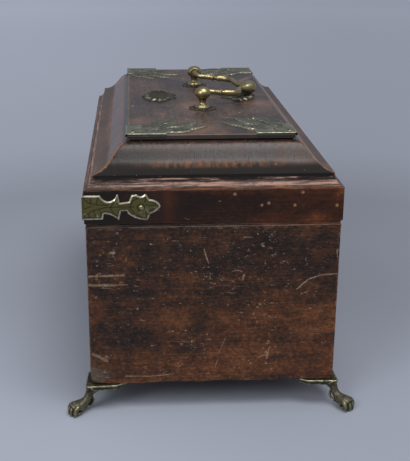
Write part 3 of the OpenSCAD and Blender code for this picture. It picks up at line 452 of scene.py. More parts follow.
def ogee_wood(name, way):
    """The ogee sides, with faint streaks that run up them, polished above, sooty and darkened with painted
    shade at the foot, and with a painted shadow along the top under the panel.
    """
    finish = Finish(name, IOR=1.5, Specular_IOR_Level=0.25 if way == "Y" else 1.0)
    x, y, z = finish.parts()
    across = {"Y": (0.05, 0.45, 0.05), "X": (0.45, 0.05, 0.05)}[way]
    fine = {"Y": (0.10, 1.7, 0.10), "X": (1.7, 0.10, 0.10)}[way]
    streaks = finish.noise(across, 5.0, 0.65, 0.4, (4, 4, 4))
    fibres = finish.noise(fine, 4.0, 0.6, 0.2, (6, 6, 6))
    pores = finish.step(fibres, 0.62, 0.74)
    patch = finish.noise((0.045, 0.045, 0.07), 4.0, 0.55, 0.4, (3, 3, 9))
    mottle = finish.noise((0.40, 0.40, 0.45), 4.0, 0.7, 0.3, (5, 2, 9))
    side = finish.step(y, -0.8 * HALF_W, 0.2 * HALF_W) if way == "Y" else 0.5
    tone = (streaks * 0.7 + patch * 1.1 + fibres * 0.3 + mottle * 0.7 + side * 0.2
            + (-1.27 if way == "Y" else -0.8))
    colour = finish.ramp(tone, (0.0, SOOT_AND_SHADE), (0.4, (0.028, 0.013, 0.008)), (0.75, (0.070, 0.028, 0.014)),
                         (1.0, (0.15, 0.065, 0.030)))
    # Soot and painted shade darken the hollow of the foot, with bare orange places, and the hips are rubbed
    foot = finish.step(z + patch * 3.0, OGEE_Z + 7.2, OGEE_Z + 3.8)
    colour = finish.mix(foot * (0.95 if way == "Y" else 0.45), colour, SOOT_AND_SHADE)
    run = y if way == "Y" else x
    middle = finish.step(abs(run), 0.8 * (HALF_W if way == "Y" else HALF_L), 10.0)
    lower = finish.step(z, OGEE_Z + 6.6, OGEE_Z + 4.4) * finish.step(z, OGEE_Z + 1.5, OGEE_Z + 3.5)
    bare = lower * middle * finish.step(streaks + mottle * 0.6, 0.62, 0.95)
    colour = finish.mix(bare * 0.7, colour, (0.15, 0.062, 0.025))
    crown = finish.step(z, OGEE_TOP_Z - 4.5, OGEE_TOP_Z - 2.0) * finish.step(mottle, 0.42, 0.62)
    colour = finish.mix(crown * 0.35, colour, (0.16, 0.06, 0.026))
    hip = abs(HALF_L - abs(x) - (HALF_W - abs(y)))
    ridge = finish.step(hip + patch * 3.0 + mottle * 2.0, 3.9, 2.4)
    colour = finish.mix(ridge * 0.6, colour, (0.24, 0.105, 0.045))
    # Painted shadow: a near-black band along the top of the ogee, under the panel's overhang
    top = finish.step(z, OGEE_TOP_Z - 1.8, OGEE_TOP_Z - 0.9)
    colour = finish.mix(top * 0.8, colour, SOOT_AND_SHADE)
    spots = finish.most(flecks(finish, 6.0, 0.25, (5, 2, 7)), flecks(finish, 3.0, 0.14, (2, 2, 2)))
    low = finish.step(z, OGEE_Z + 12, OGEE_Z + 5, 0.35, 1.0)
    colour = finish.mix(spots * low * 0.75, colour, BARE)
    rough = 0.1 + streaks * 0.26 + patch * 0.14 + foot * 0.5 + spots * 0.2
    return finish.finish(colour, rough, wood_normal(finish, streaks, pores, spots + mottle, 0.06))


def panel_wood():
    """The top: faded and stained, with warmer places where hands have polished it."""
    finish = Finish("panel_wood", IOR=1.5, Specular_IOR_Level=0.50)
    x, y, z = finish.parts()
    fibres, figure, pores = grain(finish, "X", 0.8)
    patch = finish.noise((0.022, 0.03, 0.03), 4.0, 0.55, 0.8, (1, 6, 2))
    stain = finish.noise((0.05, 0.06, 0.05), 4.0, 0.6, 1.2, (9, 9, 3))
    mottle = finish.noise((0.35, 0.40, 0.35), 4.0, 0.7, 0.3, (5, 5, 9))
    tone = patch * 1.3 + fibres * 0.5 + figure * 0.6 + mottle * 0.9 - 1.17
    colour = finish.ramp(tone, (0.0, (0.008, 0.006, 0.005)), (0.40, (0.024, 0.015, 0.011)),
                         (0.75, (0.072, 0.042, 0.028)), (1.0, (0.165, 0.100, 0.064)))
    warm = finish.step(stain + mottle * 0.35, 0.72, 0.98)
    for spot_x, spot_y, reach in WARM_PATCHES:
        gap = finish.vector("DISTANCE", finish.stretched((0.8, 1, 0)), (0.8 * spot_x, spot_y, 0))
        near = finish.step(gap + stain * reach + mottle * 9.0, 1.9 * reach, 0.5 * reach)
        warm = finish.most(warm, near)
    colour = finish.mix(warm * 0.62, colour, (0.18, 0.084, 0.04))
    colour = finish.mix(pores * 0.5, colour, (0.03, 0.02, 0.018))
    edge = finish.least(PANEL_HALF_L - abs(x), PANEL_HALF_W - abs(y))
    rubbed = finish.step(edge + stain * 3.0, 3.2, 1.4)
    colour = finish.mix(rubbed * 0.4, colour, (0.17, 0.11, 0.08))
    # Painted shade: the panel's side face is darkened almost to black
    side = finish.step(z, TOP_Z - 0.15, TOP_Z - 0.6) * finish.step(edge, 5.0, 3.5)
    colour = finish.mix(side * 0.7, colour, SOOT_AND_SHADE)
    under = finish.step(z, TOP_Z - 0.6, TOP_Z - 1.6) * finish.step(edge, 3.5, 5.0)
    colour = finish.mix(under, colour, finish.mix(fibres, (0.07, 0.033, 0.018), (0.22, 0.11, 0.06)))
    spots = finish.most(flecks(finish, 8.0, 0.25, (6, 2, 2)), flecks(finish, 3.0, 0.25, (1, 1, 7)))
    colour = finish.mix(spots * 0.6, colour, PALE_FLECK)
    rough = 0.34 + patch * 0.2 - warm * 0.08
    return finish.finish(colour, rough, wood_normal(finish, fibres, pores, spots, 0.08))


def inner_wood():
    """The unpolished wood inside, and of the bottom."""
    finish = Finish("inner_wood", IOR=1.45)
    fibres, figure, pores = grain(finish, "X")
    tone = fibres * 0.5 + figure * 0.5
    colour = finish.ramp(tone, (0.25, (0.10, 0.045, 0.022)), (0.75, (0.26, 0.13, 0.07)))
    colour = finish.mix(pores * 0.5, colour, DARK_BROWN)
    grime = finish.noise((0.04, 0.04, 0.04), 4.0, 0.6)
    colour = finish.mix(finish.step(grime, 0.5, 0.8, 0.0, 0.5), colour, SOOT_AND_SHADE)
    return finish.finish(colour, 0.6 + fibres * 0.2, wood_normal(finish, fibres, pores, grime))


# Metal

def brass(name, clean, tarnish, share, rough, relief=True):
    """Old brass: clean where it is rubbed, tarnished in its grooves and in patches, and darkened with painted
    shade on the outer faces of the corner strips.
    """
    finish = Finish(name)
    patch = finish.noise((0.16, 0.16, 0.16), 4.0, 0.6, 0.5, (3, 1, 2))
    grit = finish.noise((1.6, 1.6, 1.6), 4.0, 0.6, 0.0, (1, 3, 2))
    dull = finish.step(patch * 0.8 + grit * 0.35, 0.75 - 0.5 * share, 0.95 - 0.5 * share)
    if relief:
        broken = finish.step(finish.noise((0.55, 0.55, 0.55), 3.0, 0.6, 0.0, (6, 4, 1)), 0.36, 0.54,
                             0.25, 1.0)
        edge = finish.attribute("edge") * broken
        groove = finish.attribute("groove")
        dull = finish.most(dull - edge, groove)
    colour = finish.mix(dull, clean, tarnish)
    if relief:
        colour = finish.mix(groove, colour, (0.016, 0.014, 0.009))
    gloss = rough + dull * 0.22 + grit * 0.12
    metal = finish.step(dull, 0.0, 1.0, 1.0, 0.8)
    return finish.finish(colour, gloss, finish.bump(grit, 0.05, 0.5), metal)


def iron():
    finish = Finish("iron", Metallic=0.9)
    rust = finish.step(finish.noise((0.3, 0.3, 0.3), 5.0, 0.65), 0.45, 0.65)
    grit = finish.noise((2.0, 2.0, 2.0), 3.0)
    colour = finish.mix(rust, (0.16, 0.15, 0.14), (0.09, 0.045, 0.025))
    return finish.finish(colour, 0.4 + rust * 0.35, finish.bump(grit, 0.05))


def baize():
    finish = Finish("baize", Roughness=0.95, Sheen_Weight=0.4, Sheen_Roughness=0.5)
    nap = finish.noise((2.6, 2.6, 2.6), 4.0, 0.7)
    worn = finish.noise((0.05, 0.05, 0.05), 4.0, 0.6)
    colour = finish.mix(nap, (0.018, 0.055, 0.030), (0.055, 0.12, 0.065))
    colour = finish.mix(finish.step(worn, 0.5, 0.75, 0.0, 0.6), colour, (0.12, 0.13, 0.075))
    return finish.finish(colour, None, finish.bump(nap, 0.25))


def make_materials():
    return {
        "case_end": case_wood("case_wood_end", "Y", True),
        "case_far_end": case_wood("case_wood_far_end", "Y", False),
        "case_long": case_wood("case_wood_long", "X", False),
        "lid_end": lid_wood("lid_wood_end", "Y"),
        "lid_long": lid_wood("lid_wood_long", "X"),
        "ogee_end": ogee_wood("ogee_wood_end", "Y"),
        "ogee_long": ogee_wood("ogee_wood_long", "X"),
        "panel": panel_wood(),
        "inner": inner_wood(),
        "handle": brass("handle_brass", (0.37, 0.295, 0.15), (0.078, 0.067, 0.043), 0.50, 0.30),
        "mount": brass("mount_brass", (0.44, 0.40, 0.29), (0.135, 0.136, 0.105), 0.8, 0.34),
        "dark_mount": brass("mount_brass_dark", (0.34, 0.31, 0.21), (0.066, 0.060, 0.046), 0.95, 0.34),
        "band_mount": brass("band_brass", (0.72, 0.66, 0.50), (0.115, 0.100, 0.035), 0.85, 0.26),
        "foot": brass("foot_brass", (0.38, 0.345, 0.22), (0.038, 0.034, 0.020), 0.85, 0.28),
        "plain_brass": brass("plain_brass", (0.46, 0.38, 0.20), (0.17, 0.15, 0.09), 0.5, 0.32, False),
        "iron": iron(),
        "baize": baize(),
    }


# Wooden pieces: worn copies of the CAD pieces

EDGE_STEPS = (0.15, 0.4, 0.7, 1.1, 1.6, 2.3, 3.2, 4.5)
RUN_STEP = 2.5


def ragged(points, size, seed):
    """Noise from -1 to 1 at each point, with features of that size."""
    shift = Vector((seed, 2 * seed, -seed))
    return np.array([noise.noise(Vector(p) / size + shift) for p in points])


def unit(values):
    return np.clip(values, 0, 1)


def soft_line(gap, width):
    """A soft line, 1 where gap is 0, that fades out over about width."""
    return np.exp(-(gap / width) ** 2)


def round_box(points, half_x, half_y, low, high, radius, round_low, round_high):
    """Points past the rounded edges of a box come back to them. radius is one value for each point."""
    gap_x = half_x - np.abs(points[:, 0])
    gap_y = half_y - np.abs(points[:, 1])
    gap_z = np.full(len(points), 1e9)
    if round_low:
        gap_z = np.minimum(gap_z, points[:, 2] - low)
    if round_high:
        gap_z = np.minimum(gap_z, high - points[:, 2])
    gaps = np.stack([gap_x, gap_y, gap_z], 1)
    past = np.maximum(radius[:, None] - gaps, 0)
    reach = np.linalg.norm(past, axis=1)
    moved = np.where(reach > radius, (reach - radius) / np.maximum(reach, 1e-9), 0)[:, None] * past
    sign = np.stack([np.sign(points[:, 0]), np.sign(points[:, 1]),
                     np.where(points[:, 2] - low < high - points[:, 2], -1.0, 1.0)], 1)
    return points - moved * sign


def worn_case(points):
    wave = ragged(points, 7.0, 1)
    fine = ragged(points, 2.6, 4)
    low = unit((FOOT_Z + 6 - points[:, 2]) / 6)
    radius = 0.55 + 0.2 * wave + unit(wave - 0.2) * (0.8 + 2.6 * low) + 0.4 * low * fine
    chip = np.linalg.norm(points - np.array([HALF_L, -HALF_W, FOOT_Z]), axis=1)
    radius += 2.4 * unit(1 - chip / 11)
    return round_box(points, HALF_L, HALF_W, FOOT_Z, RIM_Z, np.clip(radius, 0.3, 4.0), True, False)


def worn_band(points):
    wave = ragged(points, 6.0, 2)
    radius = np.clip(0.8 + 0.3 * wave + unit(wave - 0.2) * 1.2, 0.3, 2.0)
    points = round_box(points, BAND_HALF_L, BAND_HALF_W, LID_Z, TREAD_Z, radius, False, False)
    # Small dents along the rounded edge
    near = unit(1 - np.abs(points[:, 2] - (BAND_Z + 0.8)) / 2.0)
    dent = unit(ragged(points, 3.5, 6) - 0.25) * near * 1.4
    points[:, 2] -= dent
    return points


def worn_bead(points):
    wave = ragged(points, 4.0, 3)
    radius = np.clip(0.7 + 0.4 * wave, 0.3, 1.5)
    return round_box(points, BEAD_HALF_L, HALF_W + BEAD_HALF_L - HALF_L, LID_Z, BEAD_Z, radius, False, False)


def worn_ogee(points):
    gap_x = HALF_L - np.abs(points[:, 0])
    gap_y = HALF_W - np.abs(points[:, 1])
    hip = soft_line(gap_x - gap_y, 0.9)
    outside = unit((points[:, 2] - OGEE_Z) / 2) * unit((OGEE_TOP_Z - points[:, 2]) / 1)
    wave = ragged(points, 5.0, 5)
    points[:, 2] -= hip * outside * (0.30 + 0.2 * wave)
    return points


def worn_panel(points):
    wave = ragged(points, 5.0, 7)
    radius = np.clip(0.55 + 0.3 * wave + unit(wave - 0.25) * 1.6, 0.25, 1.6)
    above = points[:, 2] > TOP_Z - PANEL_EDGE + 0.01
    out = round_box(points, PANEL_HALF_L, PANEL_HALF_W, TOP_Z - PANEL_EDGE, TOP_Z, radius, False, True)
    return np.where(above[:, None], out, points)


def worn_copy(node, body, material, wear, planes, smooth_angle=35):
    """A copy of a CAD piece, cut into small faces near its edges and then worn."""
    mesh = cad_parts[node].data.copy()
    bm = bmesh.new()
    bm.from_mesh(mesh)
    bmesh.ops.remove_doubles(bm, verts=bm.verts, dist=0.002 * MM)
    bmesh.ops.dissolve_limit(bm, angle_limit=math.radians(0.4), verts=bm.verts, edges=bm.edges)
    for normal, offsets in planes:
        way = Vector(normal).normalized()
        for offset in offsets:
            bmesh.ops.bisect_plane(bm, geom=bm.verts[:] + bm.edges[:] + bm.faces[:],
                                   plane_co=way * offset * MM, plane_no=way, dist=0.001 * MM)
    points = np.array([v.co for v in bm.verts]) / MM
    for vert, co in zip(bm.verts, wear(points)):
        vert.co = Vector(co) * MM
    bm.to_mesh(mesh)
    bm.free()
    mesh.materials.clear()
    mesh.materials.append(material)
    for polygon in mesh.polygons:
        polygon.use_smooth = True
        polygon.material_index = 0
    mesh.set_sharp_from_angle(angle=math.radians(smooth_angle))
    return add_piece(node + "_worn", mesh, body, [node])


def add_piece(name, mesh, body, nodes=()):
    piece = bpy.data.objects.new(name, mesh)
    bpy.context.scene.collection.objects.link(piece)
    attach(piece, body)
    if nodes:
        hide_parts(*nodes)
    return piece


def both(values):
    return [sign * value for value in values for sign in (-1, 1)]


def run_cuts(half):
    """Offsets along a side: close together at its ends, and evenly spaced between them."""
    middle = np.arange(-half + 2 * RUN_STEP, half - 2 * RUN_STEP + 0.01, RUN_STEP)
    return both([half - step for step in EDGE_STEPS]) + list(middle)


def side_planes(end, half_l, half_w, heights):
    """Cutting planes for one mitred side: along it, in from its face, and at heights."""
    run, across = ((0, 1, 0), (1, 0, 0)) if end else ((1, 0, 0), (0, 1, 0))
    half_run, half_across = (half_w, half_l) if end else (half_l, half_w)
    return [(run, run_cuts(half_run)), (across, both([half_across - step for step in EDGE_STEPS[:5]])),
            ((0, 0, 1), heights)]


def make_woodwork(materials):
    for side in ("front", "back", "left", "right"):
        end = side in ("left", "right")
        board = side + ("_end_board" if end else "_board")
        case = {"right": "case_end", "left": "case_far_end"}.get(side, "case_long")
        lid = "lid_end" if end else "lid_long"
        ogee = "ogee_end" if end else "ogee_long"
        low = [FOOT_Z + step for step in EDGE_STEPS] + [FOOT_Z + 6]
        planes = side_planes(end, HALF_L, HALF_W, low)
        worn_copy(board, "case", materials[case], worn_case, planes)
        top = [BAND_Z + step for step in (-2.4, -1.4, -0.7, 0, 0.8, 1.6, 2.4, 3.4, 4.4)]
        planes = side_planes(end, BAND_HALF_L, BAND_HALF_W, top)
        worn_copy(side + "_band_rail", "lid", materials[lid], worn_band, planes)
        planes = side_planes(end, BEAD_HALF_L, BEAD_HALF_W, [])
        worn_copy(side + "_bead", "lid", materials[lid], worn_bead, planes[:1])
        hips = [(way, both_hips) for way, both_hips in hip_planes(side)]
        planes = side_planes(end, HALF_L, HALF_W, [])
        worn_copy(side + "_ogee", "lid", materials[ogee], worn_ogee, planes[:1] + hips)
    edge = [TOP_Z - step for step in (0.3, 0.7, 1.2)]
    planes = [((1, 0, 0), run_cuts(PANEL_HALF_L)), ((0, 1, 0), run_cuts(PANEL_HALF_W)), ((0, 0, 1), edge)]
    worn_copy("top_panel", "lid", materials["panel"], worn_panel, planes)


def hip_planes(side):
    """Planes beside the two mitres of a side, parallel to them."""
    steps = (0.3, 0.7, 1.2, 1.9)
    root = math.sqrt(2)
    corner_sum = (HALF_L - HALF_W) / root
    signs = {"front": ((1, 1), (-1, 1)), "back": ((1, -1), (-1, -1)),
             "left": ((-1, 1), (-1, -1)), "right": ((1, 1), (1, -1))}[side]
    for sx, sy in signs:
        yield (sx, sy, 0), [corner_sum + sign * step for step in steps for sign in (-1, 1)]


# Relief plates: mounts, rest plates, rosettes and the escutcheon

def polygon_inside(points):
    """A function that gives how far a place lies inside a polygon, negative outside it."""
    start = np.array(points, float)
    end = np.roll(start, -1, axis=0)

    def inside(x, y):
        flat = np.stack([np.ravel(x), np.ravel(y)], 1)
        way = end - start
        offset = flat[:, None, :] - start[None]
        along = unit((offset * way).sum(2) / (way ** 2).sum(1))
        gap = np.linalg.norm(offset - along[..., None] * way, axis=2).min(1)
        above = (start[:, 1] > flat[:, 1, None]) != (end[:, 1] > flat[:, 1, None])
        rise = np.where(way[:, 1] == 0, 1e-12, way[:, 1])
        crossing = start[:, 0] + (flat[:, 1, None] - start[:, 1]) * way[:, 0] / rise
        odd = (above & (flat[:, 0, None] < crossing)).sum(1) % 2 == 1
        return np.where(odd, gap, -gap).reshape(np.shape(x))
    return inside


def leaf_inside(p, q, width):
    """How far a place lies inside a pointed oval from p to q."""
    p = np.array(p, float)
    q = np.array(q, float)
    length = np.linalg.norm(q - p)
    radius = (length ** 2 + width ** 2) / (4 * width)
    middle = (p + q) / 2
    side = np.array([-(q - p)[1], (q - p)[0]]) / length
    centres = [middle + side * (radius - width / 2), middle - side * (radius - width / 2)]

    def inside(x, y):
        return np.minimum(*[radius - np.hypot(x - c[0], y - c[1]) for c in centres])
    return inside


def circle_inside(x0, y0, radius):
    return lambda x, y: radius - np.hypot(x - x0, y - y0)


def union(shapes):
    return lambda x, y: np.max([shape(x, y) for shape in shapes], axis=0)


def line_gap(points, x, y):
    """Distance from places to a line through points."""
    gap = np.full(np.shape(x), 1e9)
    for (x0, y0), (x1, y1) in zip(points, points[1:]):
        dx, dy = x1 - x0, y1 - y0
        along = unit(((x - x0) * dx + (y - y0) * dy) / (dx * dx + dy * dy))
        gap = np.minimum(gap, np.hypot(x - x0 - along * dx, y - y0 - along * dy))
    return gap


def arc(p, q, sag, steps):
    """Points of an arc from p to q that bulges by sag to the right of the way from p to q."""
    p = np.array(p, float)
    q = np.array(q, float)
    chord = np.linalg.norm(q - p)
    u = (q - p) / chord
    v = np.array([u[1], -u[0]])
    radius = (chord ** 2 / 4 + sag ** 2) / (2 * sag)
    centre = (p + q) / 2 - v * (radius - sag)
    half = math.asin(chord / 2 / radius)
    turns = [half * (2 * i / steps - 1) for i in range(steps + 1)]
    return [tuple(centre + v * radius * math.cos(a) + u * radius * math.sin(a)) for a in turns]


def relief(inside, low, high, cell, surface):
    """A closed plate on h = 0 whose outline is where inside is 0.

    surface gives height, edge and groove for places on it. The result is points, faces, edge and groove.
    """
    xs = np.arange(low[0], high[0] + cell, cell)
    ys = np.arange(low[1], high[1] + cell, cell)
    x, y = np.meshgrid(xs, ys, indexing="ij")
    index = np.arange(x.size).reshape(x.shape)
    a, b, c, d = index[:-1, :-1], index[1:, :-1], index[1:, 1:], index[:-1, 1:]
    faces = np.concatenate([np.stack([a, b, c], -1).reshape(-1, 3), np.stack([a, c, d], -1).reshape(-1, 3)])
    x, y = x.ravel(), y.ravel()
    faces = faces[inside(x[faces].mean(1), y[faces].mean(1)) > 0]
    used, faces = np.unique(faces, return_inverse=True)
    faces = faces.reshape(-1, 3)
    x, y = x[used], y[used]
    edges = np.concatenate([faces[:, [0, 1]], faces[:, [1, 2]], faces[:, [2, 0]]])
    _, inverse, count = np.unique(np.sort(edges, 1), axis=0, return_inverse=True, return_counts=True)
    rim = edges[count[inverse.ravel()] == 1]
    on_rim = np.zeros(len(x), bool)
    on_rim[rim] = True
    nudge = 0.02
    for _ in range(5):
        depth = inside(x, y)
        slope_x = (inside(x + nudge, y) - inside(x - nudge, y)) / (2 * nudge)
        slope_y = (inside(x, y + nudge) - inside(x, y - nudge)) / (2 * nudge)
        steep = np.maximum(slope_x ** 2 + slope_y ** 2, 0.2)
        pull = np.where(on_rim | (depth < 0), np.clip(depth, -cell, cell) / steep, 0)
        x = x - pull * slope_x
        y = y - pull * slope_y
    height, edge, groove = surface(x, y)
    count = len(x)
    points = np.concatenate([np.stack([x, y, height], 1), np.stack([x, y, np.zeros(count)], 1)])
    walls = [(p, q, q + count, p + count) for p, q in rim.tolist()]
    tops = [tuple(f) for f in faces.tolist()]
    bottoms = [(p + count, r + count, q + count) for p, q, r in tops]
    return (points, tops + bottoms + walls, np.concatenate([edge, edge * 0.5]),
            np.concatenate([groove, groove]))


def build_mesh(name, parts, material, smooth_angle=40):
    """One mesh from parts, each of which has points, faces and, for a relief, edge and groove."""
    points, faces, edge, groove = [], [], [], []
    for part in parts:
        start = sum(len(p) for p in points)
        points.append(part[0])
        faces += [tuple(i + start for i in face) for face in part[1]]
        zero = np.zeros(len(part[0]))
        edge.append(part[2] if len(part) > 2 else zero)
        groove.append(part[3] if len(part) > 3 else zero)
    mesh = bpy.data.meshes.new(name)
    mesh.from_pydata((np.concatenate(points) * MM).tolist(), [], faces)
    for title, values in (("edge", edge), ("groove", groove)):
        attribute = mesh.attributes.new(title, "FLOAT", "POINT")
        attribute.data.foreach_set("value", np.concatenate(values).astype(np.float32))
    bm = bmesh.new()
    bm.from_mesh(mesh)
    bmesh.ops.recalc_face_normals(bm, faces=bm.faces)
    bm.to_mesh(mesh)
    bm.free()
    mesh.materials.append(material)
    for polygon in mesh.polygons:
        polygon.use_smooth = True
    mesh.set_sharp_from_angle(angle=math.radians(smooth_angle))
    return mesh


def placed(part, origin, along, up, out):
    """A relief part moved so that its x, y and height run along three directions from origin."""
    frame_axes = np.array([along, up, out], float)
    return (part[0] @ frame_axes + np.array(origin, float), *part[1:])


MOUNT_T = 0.9

# One arm of a band mount: distance from the corner and height from its middle line, as in the part's source
BAND_MOUNT = (
    [(-4, -6.9), (11.3, -6.7), (11.6, -3.9)]
    + arc((12.2, -3.5), (19.8, -7.4), -0.9, 6)
    + [(21.1, -2.1), (24.1, -2.1)]
    + arc((24.6, -3.4), (33.9, -7.3), 0.9, 6)
    + [(35.3, -7.4), (36.6, -4.2)]
    + arc((37.2, -3.6), (42.3, 0.2), 0.6, 6)
    + arc((42.1, 1.4), (36.4, 4.4), 0.8, 6)
    + [(34.4, 7.5)]
    + arc((33.6, 7.2), (29.6, 7.2), -1.1, 6)
    + [(26.7, 6.9), (25.2, 3.2), (20.4, 2.7), (19.5, 7.5)]
    + arc((18.6, 7.1), (10.9, 5.2), -2.6, 10)
    + [(9.8, 6.9), (-4, 6.9)]
)

# Lines engraved on a band mount: leaf stems, veins and the line inside its edge
BAND_LINES = [
    [(1.5, -4.5), (6, -1.5), (13, 0.2), (19, 0.3), (24, 0.4), (28, 0.2)],
    [(1.2, 5.2), (4, 2.6), (9, 1.6), (14, 1.4)],
    [(6, -1.5), (7.5, -4.9)],
    [(9.5, -0.7), (10.6, -4.2)],
    [(3.5, -3.2), (4.2, -5.4)],
    [(5.2, 2.2), (4.6, 5.2)],
    [(8, 1.8), (8.6, 5.0)],
    [(1.2, -0.6), (5.2, 1.0)],
    [(15, 0.3), (17.5, -3.9), (18.8, -5.5)],
    [(15.5, 0.4), (18.0, 3.2), (18.8, 5.4)],
    [(25.8, 0.2), (27.5, 3.6), (31, 5.6)],
    [(25.8, 0.0), (27.8, -3.2), (32.5, -5.8)],
    [(34.5, 1.2), (37.5, 1.0), (40.5, 0.7)],
    [(33.9, 2.6), (34.4, 5.4)],
    [(33.9, -1.4), (35.0, -5.2)],
    [(36.4, 3.1), (39.8, 1.8)],
    [(36.2, -1.8), (39.4, -0.6)],
]


def band_arm():
    full = polygon_inside(BAND_MOUNT)

    def inside(x, y):
        return np.minimum(full(x, y), x)

    def surface(x, y):
        depth = full(x, y)
        groove = np.zeros_like(x)
        for line in BAND_LINES:
            groove = np.maximum(groove, soft_line(line_gap(line, x, y), 0.26))
        groove = np.maximum(groove, 0.8 * soft_line(depth - 1.45, 0.22))
        stud = np.hypot(x - 31.8, y)
        groove = np.maximum(groove, soft_line(stud - 1.9, 0.3))
        bevel = unit(depth / 0.9)
        edge = unit(1.25 - np.abs(depth - 0.45) / 0.45)
        corner = unit(1 - x / 0.5) ** 2
        height = MOUNT_T * (0.42 + 0.58 * bevel) - 0.16 * groove * bevel - 0.25 * corner
        return np.maximum(height, 0.1), edge, groove * bevel
    return relief(inside, (0, -8), (43, 8.2), 0.33, surface)


def make_band_mounts(material):
    arm = band_arm()
    middle = (BEAD_Z + BAND_Z) / 2
    for side, sign in (("left", -1), ("right", 1)):
        corner_x = sign * (BAND_HALF_L + MOUNT_T)
        corner_y = -BAND_HALF_W - MOUNT_T
        end = placed(arm, (sign * BAND_HALF_L, corner_y, middle), (0, 1, 0), (0, 0, 1), (sign, 0, 0))
        front = placed(arm, (corner_x, -BAND_HALF_W, middle), (-sign, 0, 0), (0, 0, 1), (0, -1, 0))
        mesh = build_mesh("band_mount_" + side, [end, front], material)
        add_piece("band_mount_" + side + "_engraved", mesh, "lid", ["band_mount_" + side])


# A corner mount on the panel, as distances from its corner: the long leaf runs along the first one
STRIP_L = 21.5
STRIP_DROP = 0.8
LEAF_REACH = 45.5
LEAF_SIDE = 0.83 * LEAF_REACH
CORNER_LEAVES = [
    ((0.30, 0.15), (1.00, 0.50), 0.23),
    ((0.40, 0.32), (0.90, 0.80), 0.22),
    ((0.32, 0.40), (0.62, 1.00), 0.23),
    ((0.20, 0.40), (0.38, 0.78), 0.14),
    ((0.50, 0.10), (0.82, 0.24), 0.14),
]
CORNER_FIELD = [
    (-0.9, -0.9), (STRIP_L, -0.9), (STRIP_L + 1, 3), (0.62 * LEAF_REACH, 0.23 * LEAF_SIDE),
    (0.66 * LEAF_REACH, 0.5 * LEAF_SIDE), (0.5 * LEAF_REACH, 0.68 * LEAF_SIDE),
    (0.28 * LEAF_REACH, 0.58 * LEAF_SIDE), (3, STRIP_L + 0.6), (-0.9, STRIP_L),
]


def corner_leaf(p, q, width):
    return ((p[0] * LEAF_REACH, p[1] * LEAF_SIDE), (q[0] * LEAF_REACH, q[1] * LEAF_SIDE), width * LEAF_REACH)


def scalloped(inside, pitch, depth):
    """The same outline with small regular lobes along it."""
    def shape(x, y):
        wave = np.cos(2 * math.pi * x / pitch) * np.cos(2 * math.pi * y / pitch)
        return inside(x, y) + depth * wave
    return shape


def leaf_veins(x, y, p, q, width):
    """Engraved midrib and side veins of a leaf, 1 in a line."""
    way = np.array(q, float) - np.array(p, float)
    length = np.linalg.norm(way)
    way /= length
    along = (x - p[0]) * way[0] + (y - p[1]) * way[1]
    across = np.abs(-(x - p[0]) * way[1] + (y - p[1]) * way[0])
    rib = soft_line(across, 0.28)
    phase = (along - 1.1 * across) / 2.6
    side = soft_line((phase - np.round(phase)) * 2.6, 0.42)
    within = unit(leaf_inside(p, q, width)(x, y) / 0.8)
    return np.maximum(rib, 0.8 * side) * within


def corner_plate():
    leaves = [corner_leaf(*leaf) for leaf in CORNER_LEAVES]
    field = polygon_inside(CORNER_FIELD)
    outline = union([field] + [scalloped(leaf_inside(*leaf), 3.4, 0.35) for leaf in leaves])

    def slots(x, y):
        holes = [
            leaf_inside((0.50 * LEAF_REACH, 0.36 * LEAF_SIDE), (0.68 * LEAF_REACH, 0.42 * LEAF_SIDE), 1.8),
            leaf_inside((0.42 * LEAF_REACH, 0.52 * LEAF_SIDE), (0.50 * LEAF_REACH, 0.68 * LEAF_SIDE), 1.8),
        ]
        return union(holes)(x, y)

    def inside(x, y):
        return np.minimum(outline(x, y), -slots(x, y))

    def surface(x, y):
        depth = inside(x, y)
        bevel = unit(depth / 0.8)
        height = 0.62 * bevel + 0.28
        groove = np.zeros_like(x)
        for leaf in leaves:
            within = leaf_inside(*leaf)(x, y)
            height += 0.3 * unit(within / 2.4) ** 0.7
            groove = np.maximum(groove, leaf_veins(x, y, *leaf))
            groove = np.maximum(groove, 0.9 * soft_line(within, 0.3) * unit(depth - 0.6))
        root = np.hypot(x - 7, y - 7)
        groove = np.maximum(groove, soft_line(root - 4.2, 0.35) * unit(depth / 1.5))
        edge = unit(1.15 - np.abs(depth - 0.35) / 0.4)
        return np.maximum(height - 0.20 * groove, 0.12), edge * 0.7, groove
    return relief(inside, (-1.4, -1.4), (LEAF_REACH + 2, LEAF_SIDE + 2), 0.42, surface)


def strip(length, drop):
    """The turned-down edge of a corner mount, with its outer edge rounded."""
    outline = [(-0.9, -drop), (-0.9, 0.55), (-0.72, 0.82), (-0.45, 0.92), (0.1, 0.9), (0.1, 0.05),
               (0, 0), (0, -drop)]
    stations = np.linspace(-0.9, length, 24)
    points = [(s, y, z) for s in stations for y, z in outline]
    n = len(outline)
    faces = [(i * n + j, i * n + (j + 1) % n, (i + 1) * n + (j + 1) % n, (i + 1) * n + j)
             for i in range(len(stations) - 1) for j in range(n)]
    faces += [tuple(range(n)), tuple(range((len(stations) - 1) * n, len(stations) * n))]
    edge = [1.0 if z > 0.8 and y < 0 else 0.0 for _ in stations for y, z in outline]
    # The lower part of the strip's outer face is marked as groove: painted shade, darkened like tarnish
    groove = [0.5 if z < 0.6 and y < 0 else 0.0 for _ in stations for y, z in outline]
    return np.array(points, float), faces, np.array(edge), np.array(groove)


